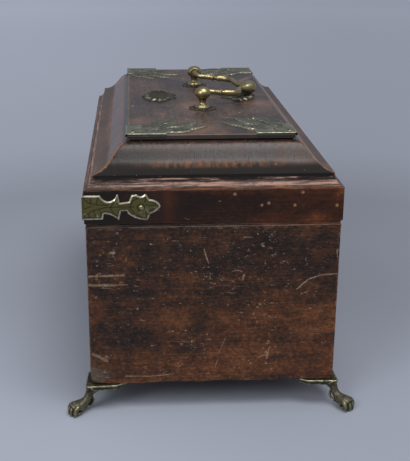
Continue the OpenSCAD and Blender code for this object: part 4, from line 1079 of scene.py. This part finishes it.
def make_corner_mounts(material):
    plate = corner_plate()
    flange = strip(STRIP_L, STRIP_DROP)
    flipped = (flange[0][:, [1, 0, 2]], *flange[1:])
    for turns, name in enumerate(("front_left", "front_right", "back_right", "back_left")):
        angle = math.radians(90 * turns)
        along = (math.cos(angle), math.sin(angle), 0)
        across = (-math.sin(angle), math.cos(angle), 0)
        reach = (PANEL_HALF_L, PANEL_HALF_W) if turns % 2 == 0 else (PANEL_HALF_W, PANEL_HALF_L)
        corner = -np.array(along) * reach[0] - np.array(across) * reach[1] + np.array([0, 0, TOP_Z])
        parts = [placed(part, corner, along, across, (0, 0, 1)) for part in (plate, flange, flipped)]
        mesh = build_mesh("corner_mount_" + name, parts, material)
        add_piece("corner_mount_" + name + "_leafy", mesh, "lid", ["corner_mount_" + name])


# Rest plates

REST_L = 42
REST_W = 18
BAIL_REACH = 34.8
REST_Y = 0.747 * BAIL_REACH
PAD_GAP = 0.3


def shell_plate():
    """A shell-edged plate. Its ribs spread from a point behind its straight side."""
    lobe = REST_W / 4.4
    lobes = [circle_inside(i * REST_L / 6.5, 0.42 * REST_W - 0.9 * i * i, lobe) for i in range(-2, 3)]
    lobes += [circle_inside(i * REST_L / 8, -0.4 * REST_W, lobe) for i in (-1, 1)]
    body = leaf_inside((-REST_L / 2, 0), (REST_L / 2, 0), REST_W)
    outline = union([body] + lobes)
    pad = leaf_inside((-REST_L / 6, BAIL_REACH - REST_Y), (REST_L / 6, BAIL_REACH - REST_Y), lobe)

    def surface(x, y):
        depth = outline(x, y)
        bevel = unit(depth / 1.2)
        turn = np.arctan2(x, y + 1.25 * REST_W)
        ribs = 0.5 + 0.5 * np.cos(turn * 46)
        far = unit((np.hypot(x, y + 1.25 * REST_W) - 0.9 * REST_W) / 4)
        height = 0.3 + 0.55 * bevel + 0.45 * ribs * far * bevel
        groove = (1 - ribs) ** 2 * far * bevel
        for i in (-1, 1):
            scroll = np.hypot(x - i * REST_L / 4.2, y + 1.5)
            groove = np.maximum(groove, soft_line(scroll - 2.4, 0.35))
        rise = unit(pad(x, y) / 0.8)
        height = np.maximum(height - 0.2 * groove, rise * (AXIS_UP - BAIL_DROP - GRIP_R - PAD_GAP))
        near_rim = unit(1.2 - np.abs(depth - 1.2) / 1.0)
        edge = ribs ** 2 * near_rim * far
        height = height + 0.35 * edge
        return (np.maximum(height, 0.12), unit(edge), unit(groove + 0.2 - edge) * (1 - rise))
    return relief(outline, (-REST_L / 2 - 2, -REST_W), (REST_L / 2 + 2, REST_W), 0.42, surface)


def make_rest_plates(material):
    plate = shell_plate()
    for side, sign in (("front", -1), ("back", 1)):
        part = placed(plate, (0, sign * REST_Y, TOP_Z), (1, 0, 0), (0, sign, 0), (0, 0, 1))
        mesh = build_mesh(side + "_rest_plate", [part], material)
        add_piece(side + "_rest_plate_shell", mesh, "lid", [side + "_rest_plate"])


# The handle

POST_X = 41.0
KNOB_R = 5.0
KNOB_HALF_H = 3.9
AXIS_UP = 9.8
ROSETTE_R = 8.3
ROSETTE_T = 0.8
PETALS = 10


def lathe(profile, steps=56):
    """A solid of revolution about the upright axis. The profile runs from the axis back to the axis."""
    profile = np.array(profile, float)
    turns = np.arange(steps) * 2 * math.pi / steps
    ring = profile[1:-1]
    points = [(0, 0, profile[0][1]), (0, 0, profile[-1][1])]
    points += [(r * math.cos(a), r * math.sin(a), z) for r, z in ring for a in turns]
    faces = []
    for i in range(len(ring) - 1):
        for j in range(steps):
            k = (j + 1) % steps
            faces.append((2 + i * steps + j, 2 + i * steps + k,
                          2 + (i + 1) * steps + k, 2 + (i + 1) * steps + j))
    last = 2 + (len(ring) - 1) * steps
    for j in range(steps):
        k = (j + 1) % steps
        faces.append((0, 2 + k, 2 + j))
        faces.append((1, last + j, last + k))
    return np.array(points), faces


def post_profile():
    base = 4.8
    neck = 2.35
    knob_low = AXIS_UP - KNOB_HALF_H
    cove = arc((0.74 * base, ROSETTE_T + 1.75), (neck, knob_low - 0.9), -0.75, 14)
    knob = [(KNOB_R * math.cos(math.radians(a)), AXIS_UP + KNOB_HALF_H * math.sin(math.radians(a)))
            for a in range(-60, 90, 5)]
    return (
        [(0, ROSETTE_T), (base - 0.25, ROSETTE_T), (base, ROSETTE_T + 0.2), (base, ROSETTE_T + 0.6),
         (base - 0.2, ROSETTE_T + 0.8), (0.86 * base, ROSETTE_T + 0.9), (0.82 * base, ROSETTE_T + 1.1),
         (0.81 * base, ROSETTE_T + 1.45), (0.77 * base, ROSETTE_T + 1.7)]
        + cove
        + [(neck, knob_low - 0.5)]
        + knob
        + [(0, AXIS_UP + KNOB_HALF_H)]
    )


def cut(piece, cutter):
    """Takes the cutter's solid out of a piece, for good."""
    tool = bpy.data.objects.new("cutter", cutter)
    bpy.context.scene.collection.objects.link(tool)
    modifier = piece.modifiers.new("cut", "BOOLEAN")
    modifier.object = tool
    modifier.solver = "EXACT"
    graph = bpy.context.evaluated_depsgraph_get()
    mesh = bpy.data.meshes.new_from_object(piece.evaluated_get(graph))
    piece.modifiers.clear()
    piece.data = mesh
    bpy.data.objects.remove(tool)


def socket_cutter(sign):
    """Cone, ledge and hole of the pivot's socket, on the inner side of a knob."""
    face = KNOB_R + 1
    profile = [(0, face), (4.4, face), (4.0, KNOB_R - 0.75), (3.3, KNOB_R - 0.95), (3.0, KNOB_R - 0.95),
               (1.5, KNOB_R - 2.1), (1.36, KNOB_R - 2.2), (1.36, KNOB_R - 3.4), (0, KNOB_R - 3.4)]
    points, faces = lathe(profile, 40)
    turned = np.stack([-sign * points[:, 2], points[:, 1], points[:, 0]], 1)
    return turned + np.array([sign * POST_X, 0, TOP_Z + AXIS_UP]), faces


def make_posts(material, rosette_material):
    points, faces = lathe(post_profile())
    shank, shank_faces = lathe([(0, -11.7), (1.9, -11.7), (1.9, ROSETTE_T + 0.1), (0, ROSETTE_T + 0.1)], 24)
    for side, sign in (("left", -1), ("right", 1)):
        at = np.array([sign * POST_X, 0, TOP_Z])
        mesh = build_mesh(side + "_post", [(points + at, faces, *relief_of(points, faces, 30, 0.35))],
                          material, 50)
        piece = add_piece(side + "_post_turned", mesh, "lid", [side + "_post"])
        cut(piece, build_mesh("cutter", [socket_cutter(sign)], material))
        stem = build_mesh(side + "_post_shank", [(shank + at, shank_faces)], material, 50)
        add_piece(side + "_post_shank", stem, "lid")
        make_rosette(side, at, rosette_material)


def make_rosette(side, at, material):
    petals = [circle_inside(0.8 * ROSETTE_R * math.cos(2 * math.pi * i / PETALS),
                            0.8 * ROSETTE_R * math.sin(2 * math.pi * i / PETALS), 0.24 * ROSETTE_R)
              for i in range(PETALS)]
    shape = union([circle_inside(0, 0, 0.82 * ROSETTE_R)] + petals)

    def inside(x, y):
        return np.minimum(shape(x, y), np.hypot(x, y) - 1.95)

    def surface(x, y):
        depth = shape(x, y)
        reach = np.hypot(x, y)
        turn = np.arctan2(y, x) * PETALS
        ribs = 0.5 + 0.5 * np.cos(turn)
        out = unit((reach - 4.4) / 1.5)
        groove = (1 - ribs) ** 3 * out * unit(depth / 0.5)
        height = ROSETTE_T * (0.45 + 0.55 * unit(depth / 0.9)) + 0.22 * ribs * out - 0.2 * groove
        edge = unit(1 - np.abs(depth - 0.3) / 0.4) * 0.25
        return np.maximum(height, 0.12), edge, np.maximum(groove, 0.3 - edge)
    limit = ROSETTE_R + 1
    part = relief(inside, (-limit, -limit), (limit, limit), 0.36, surface)
    part = placed(part, at, (1, 0, 0), (0, 1, 0), (0, 0, 1))
    mesh = build_mesh(side + "_rosette", [part], material)
    add_piece(side + "_rosette_petals", mesh, "lid", [side + "_rosette"])


def spline(rows, steps):
    """Catmull-Rom through rows of numbers."""
    rows = np.array(rows, float)
    last = len(rows) - 1
    out = []
    for i in range(last):
        a, b, c, d = rows[max(i - 1, 0)], rows[i], rows[i + 1], rows[min(i + 2, last)]
        for j in range(steps):
            t = j / steps
            out.append((2 * b + (c - a) * t + (2 * a - 5 * b + 4 * c - d) * t ** 2
                        + (3 * b - a - 3 * c + d) * t ** 3) / 2)
    return np.array(out + [rows[last]])


def tube(rows, sides, ref=(0, 0, 1)):
    """A closed tube along rows of x, y, z, half width and half height. Its width lies square to ref."""
    rows = np.array(rows, float)
    way = np.gradient(rows[:, :3], axis=0)
    way /= np.linalg.norm(way, axis=1)[:, None]
    side = np.cross(np.array(ref, float), way)
    side /= np.linalg.norm(side, axis=1)[:, None]
    up = np.cross(way, side)
    turns = np.arange(sides) * 2 * math.pi / sides
    rings = (rows[:, None, :3] + side[:, None] * (rows[:, 3, None] * np.cos(turns))[..., None]
             + up[:, None] * (rows[:, 4, None] * np.sin(turns))[..., None])
    points = np.concatenate([rings.reshape(-1, 3), rows[[0, -1], :3]])
    count = len(rows)
    faces = [(i * sides + j, i * sides + (j + 1) % sides, (i + 1) * sides + (j + 1) % sides,
              (i + 1) * sides + j) for i in range(count - 1) for j in range(sides)]
    first, last = count * sides, count * sides + 1
    faces += [(first, (j + 1) % sides, j) for j in range(sides)]
    faces += [(last, (count - 1) * sides + j, (count - 1) * sides + (j + 1) % sides) for j in range(sides)]
    return points, faces


# Half of the bail, from its pivot to the middle of its grip: x, y, height over the axis and radius
ARM_X = 28.0
ARM_R = 1.6
NECK_X = POST_X - KNOB_R - 0.8
GRIP_R = 4.0
BAIL_DROP = 3.8
BAIL_HALF = [
    (NECK_X, 0, 0, 1.95),
    (NECK_X - 1.2, 0.2, -0.1, ARM_R + 0.2),
    ((NECK_X + ARM_X) / 2, 0.8, -0.5, ARM_R),
    (ARM_X + 0.9, 3.4, -1.3, ARM_R),
    (ARM_X + 0.3, 7.5, -1.8, ARM_R),
    (ARM_X, 11.2, -2.1, ARM_R),
    (ARM_X, 12.2, -2.2, ARM_R + 0.7),
    (ARM_X - 0.1, 13.3, -2.3, ARM_R - 0.3),
    (ARM_X - 0.6, 15.6, -2.5, ARM_R + 0.3),
    (ARM_X - 1, 18.6, -2.7, ARM_R + 0.4),
    (ARM_X - 2.2, 21.8, -2.9, ARM_R + 0.4),
    (ARM_X - 6, 24.4, -3.1, ARM_R + 0.2),
    (ARM_X - 13, 25.6, -3.2, ARM_R),
    (0.32 * ARM_X, 27, -3.4, ARM_R),
    (0.22 * ARM_X, 29.6, -3.6, ARM_R + 0.7),
    (0.15 * ARM_X, 32, -3.7, 0.8 * GRIP_R),
    (0.08 * ARM_X, 34.1, -BAIL_DROP, 0.95 * GRIP_R),
    (0, 34.8, -BAIL_DROP, GRIP_R),
]


def make_bail(material):
    half = [(x, y, z, r, r) for x, y, z, r in BAIL_HALF]
    rows = half + [(-x, y, z, r, r) for x, y, z, r, _ in half[-2::-1]]
    points, faces = tube(spline(rows, 7), 30)
    up = np.array([0, 0, TOP_Z + AXIS_UP])
    parts = [(points + up, faces, *relief_of(points, faces, 30, 0.30))]
    for sign in (-1, 1):
        inner, outer = NECK_X - 0.5, NECK_X + 0.8 + 2.8
        pin = [(sign * inner, 0, 0, 1.3, 1.3), (sign * outer, 0, 0, 1.3, 1.3)]
        pin_points, pin_faces = tube(pin, 24)
        parts.append((pin_points + up, pin_faces))
    mesh = build_mesh("bail", parts, material, 60)
    add_piece("bail_cast", mesh, "bail", ["bail"])


# Feet

PAW_REACH = 10.8
LEG_TURN = 45.0
LEG_ASKEW = 15.0
BRACKET_L = 20.5
BRACKET_T = 2.8
BRACKET_OUT = 3.0
TIER_T = 0.45 * BRACKET_T
FOOT_VOXEL = 0.3


def ball(centre, radii, steps=12):
    """An ellipsoid."""
    rows = [(0.0, -1.0)] + [(math.cos(math.radians(a)), math.sin(math.radians(a)))
                            for a in np.linspace(-80, 80, steps)] + [(0.0, 1.0)]
    points, faces = lathe(rows, 18)
    return points * np.array(radii) + np.array(centre), faces


def turned(part, degrees):
    """A part turned about the case corner."""
    cos = math.cos(math.radians(degrees))
    sin = math.sin(math.radians(degrees))
    x, y, z = part[0].T
    return np.stack([x * cos - y * sin, x * sin + y * cos, z], 1), part[1]


def leg_parts(askew):
    """Leg, toes, sole and heel curl, as distance out from the case corner, distance aside and height.

    The curl is open in the straight cast and clogged with old casting skin in the askew one.
    """
    low = FOOT_Z - BRACKET_T
    reach = PAW_REACH
    parts = [tube(spline([
        (-0.8, 0, low + 0.6, 4.2, 4.3),
        (-0.1, 0, low - 0.5, 3.2, 3.3),
        (0.7, 0, low - 1.7, 2.5, 2.5),
        (1.5, 0, 9.9, 2.25, 2.2),
        (0.26 * reach, 0, 7.7, 2.4, 2.3),
        (0.46 * reach, 0, 5.9, 2.7, 3.0),
        (0.74 * reach, 0, 5.0, 2.9, 4.1),
        (0.98 * reach, 0, 4.9, 2.7, 4.3),
        (1.14 * reach, 0, 4.2, 2.5, 3.5),
    ], 5), 22, (0, 1, 0))]
    for i in (-1.5, -0.5, 0.5, 1.5):
        out = reach * (1.0 - 0.04 * i * i)
        parts.append(tube(spline([
            (0.90 * out, 1.9 * i, 5.6, 1.0, 1.0),
            (1.08 * out, 2.25 * i, 5.3, 1.3, 1.2),
            (1.22 * out, 2.45 * i, 3.7, 1.4, 1.15),
            (1.26 * out, 2.45 * i, 1.5, 1.1, 0.95),
            (1.29 * out, 2.45 * i, 0.7, 0.7, 0.65),
            (1.30 * out, 2.45 * i, 0.3, 0.3, 0.3),
        ], 4), 14, (0, 1, 0)))
    parts.append(ball((0.95 * reach, 0, 1.5), (4.0, 3.8, 1.5)))
    curl = spline([(0.6, 0, 9.0, 0.9, 1.0), (-0.7, 0, 7.4, 0.8, 0.95), (-1.2, 0, 5.6, 0.75, 0.95),
                   (-0.5, 0, 3.9, 0.75, 0.95), (1.2, 0, 2.8, 0.8, 1.0), (3.6, 0, 2.5, 0.9, 1.2),
                   (5.6, 0, 2.8, 1.0, 1.4)], 5)
    parts.append(tube(curl, 12, (0, 1, 0)))
    if askew:
        parts.append(ball((1.0, 0, 5.6), (2.0, 0.6, 2.8)))
    return parts


def bracket_parts():
    """The two tiers of a bracket, and the coves that run under it from the leg."""
    low = FOOT_Z - BRACKET_T
    parts = [
        bracket_plate(BRACKET_OUT, BRACKET_L, FOOT_Z - TIER_T + 0.2, FOOT_Z),
        bracket_plate(0.45 * BRACKET_OUT, 0.9 * BRACKET_L, FOOT_Z - TIER_T - 0.3, FOOT_Z - 0.3),
        bracket_plate(0.92 * BRACKET_OUT, 0.93 * BRACKET_L, low, FOOT_Z - TIER_T - 0.2),
    ]
    cove = spline([
        (0.6, 0.6, low - 0.5, 2.0, 1.9),
        (-2.5, 0.2, low + 0.1, 1.5, 1.4),
        (-6.0, -0.3, low + 0.5, 1.1, 0.9),
        (-0.6 * BRACKET_L, -0.8, low + 0.7, 0.8, 0.7),
    ], 6)
    points, faces = tube(cove, 14)
    return parts + [(points, faces), (points[:, [1, 0, 2]], faces)]


def bracket_plate(out, length, low, high):
    tip = -1.5
    inner = 4.5 + 1.9 * 1.3 + 0.8
    outline = [(-length, -inner / 2), (-length, tip), (-0.72 * length, 0.75 * out), (0, out)]
    outline += arc((0.3 * out, out), (out, 0.3 * out), -0.25 * out, 6)
    outline += [(out, 0), (0.75 * out, -0.72 * length), (tip, -length), (-inner / 2, -length)]
    outline += [(-inner, -0.85 * length), (-inner, -inner), (-0.85 * length, -inner)]
    n = len(outline)
    points = [(x, y, z) for z in (low, high) for x, y in outline]
    faces = [tuple(range(n)), tuple(range(n, 2 * n))]
    faces += [(i, (i + 1) % n, n + (i + 1) % n, n + i) for i in range(n)]
    return np.array(points, float), faces


def relief_of(points, faces, rounds, depth):
    """How far each point stands out of, or lies in, the surface round it: 0 to 1 for edge and for groove."""
    loops = np.array([(a, b) for face in faces for a, b in zip(face, face[1:] + face[:1])])
    pairs = np.concatenate([loops, loops[:, ::-1]])
    count = np.maximum(np.bincount(pairs[:, 0], minlength=len(points)), 1)[:, None]
    soft = points.copy()
    for _ in range(rounds):
        total = np.stack([np.bincount(pairs[:, 0], soft[pairs[:, 1], k], len(points)) for k in range(3)], 1)
        soft = 0.5 * soft + 0.5 * total / count
    corners = np.array([face[:3] for face in faces])
    across = np.cross(points[corners[:, 1]] - points[corners[:, 0]],
                      points[corners[:, 2]] - points[corners[:, 0]])
    normal = np.zeros_like(points)
    for k in range(3):
        np.add.at(normal, corners[:, k], across)
    normal /= np.maximum(np.linalg.norm(normal, axis=1), 1e-9)[:, None]
    out = ((points - soft) * normal).sum(1) / depth
    return (unit(out), unit(-out))


def melted(name, parts, voxel, material):
    """Parts joined into one cast skin."""
    mesh = build_mesh(name, parts, material)
    piece = bpy.data.objects.new(name, mesh)
    bpy.context.scene.collection.objects.link(piece)
    remesh = piece.modifiers.new("melt", "REMESH")
    remesh.mode = "VOXEL"
    remesh.voxel_size = voxel * MM
    soften = piece.modifiers.new("soften", "SMOOTH")
    soften.factor = 0.5
    soften.iterations = 3
    graph = bpy.context.evaluated_depsgraph_get()
    cast = bpy.data.meshes.new_from_object(piece.evaluated_get(graph))
    bpy.data.objects.remove(piece)
    return cast


def make_feet(material):
    """Four feet from two casts: in one diagonal pair the leg stands a little askew."""
    casts = {}
    for askew in (False, True):
        turn = LEG_TURN + (LEG_ASKEW if askew else 0)
        parts = [turned(part, turn) for part in leg_parts(askew)] + bracket_parts()
        cast = melted("foot", parts, FOOT_VOXEL, material)
        points = np.array([v.co for v in cast.vertices]) / MM
        faces = [tuple(p.vertices) for p in cast.polygons]
        casts[askew] = points, faces, *relief_of(points, faces, 14, 0.16)
    for front, sy in (("front", -1), ("back", 1)):
        for side, sx in (("left", -1), ("right", 1)):
            node = "foot_" + front + "_" + side
            low, high = node_box(node)
            points, faces, edge, groove = casts[sx * sy < 0]
            here = points * np.array([sx, sy, 1]) + np.array([sx * HALF_L, sy * HALF_W, 0])
            here = np.clip(here, low, high)
            mesh = build_mesh(node, [(here, faces, edge, groove)], material, 70)
            add_piece(node + "_cast", mesh, "case", [node])


# Keyhole escutcheon

def make_escutcheon(material):
    low, high = node_box("keyhole_escutcheon")
    height = high[2] - low[2]
    width = 19.0
    half = height / 2
    middle = (low[2] + high[2]) / 2
    leaves = [((0, -half), (0, half), 0.7 * width)]
    for sign in (-1, 1):
        for i in (-1, 0, 1):
            tip = (sign * (0.5 - 0.1 * abs(i)) * width, (0.8 * i + 0.1) * half)
            leaves.append(((0, i * half / 2), tip, width / 3))
    outline = union([leaf_inside(*leaf) for leaf in leaves])
    key = KEY_Z - middle

    def hole(x, y):
        slot = np.minimum(np.minimum(1.2 - np.abs(x), key - y), y - (key - 6))
        return np.maximum(2.2 - np.hypot(x, y - key), slot)

    def inside(x, y):
        return np.minimum(outline(x, y), -hole(x, y))

    def surface(x, y):
        depth = inside(x, y)
        bevel = unit(depth / 0.7)
        groove = soft_line(outline(x, y) - 1.7, 0.3)
        groove = np.maximum(groove, soft_line(hole(x, y) + 1.4, 0.3))
        for leaf in leaves[1:]:
            groove = np.maximum(groove, 0.8 * leaf_veins(x, y, *leaf))
        edge = unit(1.1 - np.abs(depth - 0.35) / 0.4)
        return np.maximum(MOUNT_T * (0.35 + 0.65 * bevel) - 0.15 * groove, 0.1), edge * 0.8, groove * bevel
    part = relief(inside, (-width / 2 - 1, -half - 1), (width / 2 + 1, half + 1), 0.33, surface)
    part = placed(part, (0, -HALF_W, middle), (1, 0, 0), (0, 0, 1), (0, -1, 0))
    mesh = build_mesh("keyhole_escutcheon", [part], material)
    add_piece("keyhole_escutcheon_engraved", mesh, "case", ["keyhole_escutcheon"])


# Baize

BAIZE_STEP = 3.0
PARTITION_T = 5.0
LINING_GAP = 0.3


def make_linings(material):
    """A glued sheet of baize on each compartment's floor, a little wavy and frayed at its edges."""
    low, high = node_box("compartment_linings")
    length = (high[0] - low[0] + 2 * LINING_GAP + 2 * PARTITION_T) / 3 - PARTITION_T
    width = length - 2 * LINING_GAP
    depth = high[1] - low[1]
    top = high[2] - low[2]
    for i, name in enumerate(("left", "middle", "right")):
        centre = (i - 1) * (length + PARTITION_T)
        nx, ny = int(width / BAIZE_STEP), int(depth / BAIZE_STEP)
        xs = np.linspace(-width / 2, width / 2, nx + 1)
        ys = np.linspace(-depth / 2, depth / 2, ny + 1)
        x, y = np.meshgrid(xs, ys, indexing="ij")
        wave = ragged(np.stack([x.ravel() + 90 * i, y.ravel(), 0 * x.ravel()], 1), 19.0, 8).reshape(x.shape)
        fray = ragged(np.stack([x.ravel() + 90 * i, y.ravel(), 0 * x.ravel()], 1), 3.0, 9).reshape(x.shape)
        inset = 0.25 + 0.25 * fray
        rim_x = np.abs(x) > width / 2 - 0.01
        rim_y = np.abs(y) > depth / 2 - 0.01
        px = x - np.sign(x) * inset * rim_x
        py = y - np.sign(y) * inset * rim_y
        z = top * (0.86 + 0.14 * wave)
        z = np.where(rim_x | rim_y, 0.7 * z, z)
        upper = np.stack([px + centre, py, z + low[2]], -1).reshape(-1, 3)
        under = np.stack([px + centre, py, 0 * z + low[2]], -1).reshape(-1, 3)
        count = len(upper)
        index = np.arange(count).reshape(x.shape)
        corners = (index[:-1, :-1], index[1:, :-1], index[1:, 1:], index[:-1, 1:])
        cells = np.stack(corners, -1).reshape(-1, 4).tolist()
        faces = [tuple(c) for c in cells] + [tuple(v + count for v in c[::-1]) for c in cells]
        loop = list(index[:, 0]) + list(index[-1, 1:]) + list(index[-2::-1, -1]) + list(index[0, -2:0:-1])
        faces += [(a, a + count, b + count, b) for a, b in zip(loop, loop[1:] + loop[:1])]
        faces = [tuple(map(int, face)) for face in faces]
        mesh = build_mesh("baize_" + name, [(np.concatenate([upper, under]), faces)], material, 60)
        piece = add_piece("baize_" + name, mesh, "case", ["compartment_linings"])
        width * MM
        depth * MM


# Floor, background and light

BACKDROP = (0.355, 0.385, 0.455)

# Light and shade painted into the paper's colour by distance from the object's middle, as shares of BACKDROP:
# painted shade round the object, painted light far from it
PAPER_REACH = 2400.0
PAPER_PAINTED_SHADE_AND_LIGHT = [(0, 0.62), (200, 0.62), (330, 0.58), (520, 0.80), (1130, 1.14), (2200, 1.58)]


def make_floor():
    mesh = bpy.data.meshes.new("floor")
    bm = bmesh.new()
    bmesh.ops.create_circle(bm, cap_ends=True, segments=96, radius=12.0)
    bm.to_mesh(mesh)
    bm.free()
    floor = bpy.data.objects.new("floor", mesh)
    bpy.context.scene.collection.objects.link(floor)
    finish = Finish("floor_paper", Roughness=0.9)
    reach = finish.vector("LENGTH", finish.place) / PAPER_REACH
    painted_shade_stops = [(at / PAPER_REACH, tuple(shade * c for c in BACKDROP)) for at, shade in PAPER_PAINTED_SHADE_AND_LIGHT]
    colour = finish.ramp(reach, *painted_shade_stops)
    x, y, _ = finish.parts()
    # Painted light: in front of the object the paper is set to a fixed share of BACKDROP, paler than round it
    ahead = finish.step(x, -60.0, 150.0)
    colour = finish.mix(ahead, colour, tuple(0.77 * c for c in BACKDROP))
    # Painted shade: the paper darkens towards the right as seen from the camera
    depth = finish.most(CAMERA_AT[0] - x, 150.0)
    side = finish.step(y / depth, -0.16, 0.22)
    colour = finish.mix(side * finish.step(ahead, 0.0, 1.0, 0.22, 0.2), colour, (0.1, 0.11, 0.13))
    finish.finish(colour)
    finish.shader.inputs["Specular IOR Level"].default_value = 0.1
    mesh.materials.append(finish.material)


# The room's light on the object, and the colour that shows behind the floor's far edge
ROOM = (0.40, 0.40, 0.42)
ROOM_STRENGTH = 1.4
HORIZON = (0.30, 0.33, 0.395)


def make_world():
    world = bpy.data.worlds.new("world")
    bpy.context.scene.world = world
    world.use_nodes = True
    tree = world.node_tree
    room = tree.nodes["Background"]
    seen = tree.nodes.new("ShaderNodeBackground")
    for node, colour, strength in ((room, ROOM, ROOM_STRENGTH), (seen, HORIZON, 1.0)):
        node.inputs["Color"].default_value = (*colour, 1)
        node.inputs["Strength"].default_value = strength
    path = tree.nodes.new("ShaderNodeLightPath")
    shows = path.outputs["Is Camera Ray"]
    for kind in ("Is Glossy Ray", "Is Transmission Ray"):
        either = tree.nodes.new("ShaderNodeMath")
        either.operation = "MAXIMUM"
        tree.links.new(shows, either.inputs[0])
        tree.links.new(path.outputs[kind], either.inputs[1])
        shows = either.outputs[0]
    mix = tree.nodes.new("ShaderNodeMixShader")
    for socket, value in zip(mix.inputs, (shows, room.outputs[0], seen.outputs[0])):
        tree.links.new(value, socket)
    tree.links.new(mix.outputs[0], tree.nodes["World Output"].inputs["Surface"])


# Lamps: place, size and power of each soft box, all aimed at the middle of the object
LAMPS = {
    "overhead": ((0.38, 0.20, 1.30), 0.75, 13.0),
    "front_left": ((1.3, -1.1, 1.2), 0.8, 15.0),
}


def make_lamps():
    aim = Vector((0, 0, 0.09))
    for name, (place, size, power) in LAMPS.items():
        data = bpy.data.lights.new(name, "AREA")
        data.shape = "SQUARE"
        data.size = size
        data.energy = power
        lamp = bpy.data.objects.new(name, data)
        bpy.context.scene.collection.objects.link(lamp)
        lamp.location = place
        lamp.rotation_mode = "QUATERNION"
        lamp.rotation_quaternion = (aim - Vector(place)).to_track_quat("-Z", "Y")


# The pieces that keep their CAD shape, by the finish that they get
CARRIED = {
    "inner": ["bottom_board", "left_partition", "right_partition"],
    "iron": ["foot_screws", "lock_cap", "lock_spring", "lock_bolt", "hinge_pins", "post_nuts"],
    "plain_brass": [
        "escutcheon_pins", "lock_plate", "lock_screws", "left_hinge_body_leaf", "right_hinge_body_leaf",
        "hinge_body_screws", "corner_mount_pins", "band_mount_pins", "rest_plate_pins", "link_plate",
        "link_plate_screws", "left_hinge_lid_leaf", "right_hinge_lid_leaf", "hinge_lid_screws",
    ],
}


def dress_cad_nodes(materials):
    for finish, names in CARRIED.items():
        for name in names:
            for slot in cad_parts[name].material_slots:
                slot.material = materials[finish]


def main():
    bpy.context.scene.view_settings.view_transform = "Standard"
    make_camera()
    make_world()
    make_floor()
    make_lamps()
    materials = make_materials()
    dress_cad_nodes(materials)
    make_woodwork(materials)
    make_band_mounts(materials["band_mount"])
    make_corner_mounts(materials["mount"])
    make_rest_plates(materials["dark_mount"])
    make_posts(materials["handle"], materials["dark_mount"])
    make_bail(materials["handle"])
    make_feet(materials["foot"])
    make_escutcheon(materials["mount"])
    make_linings(materials["baize"])


main()
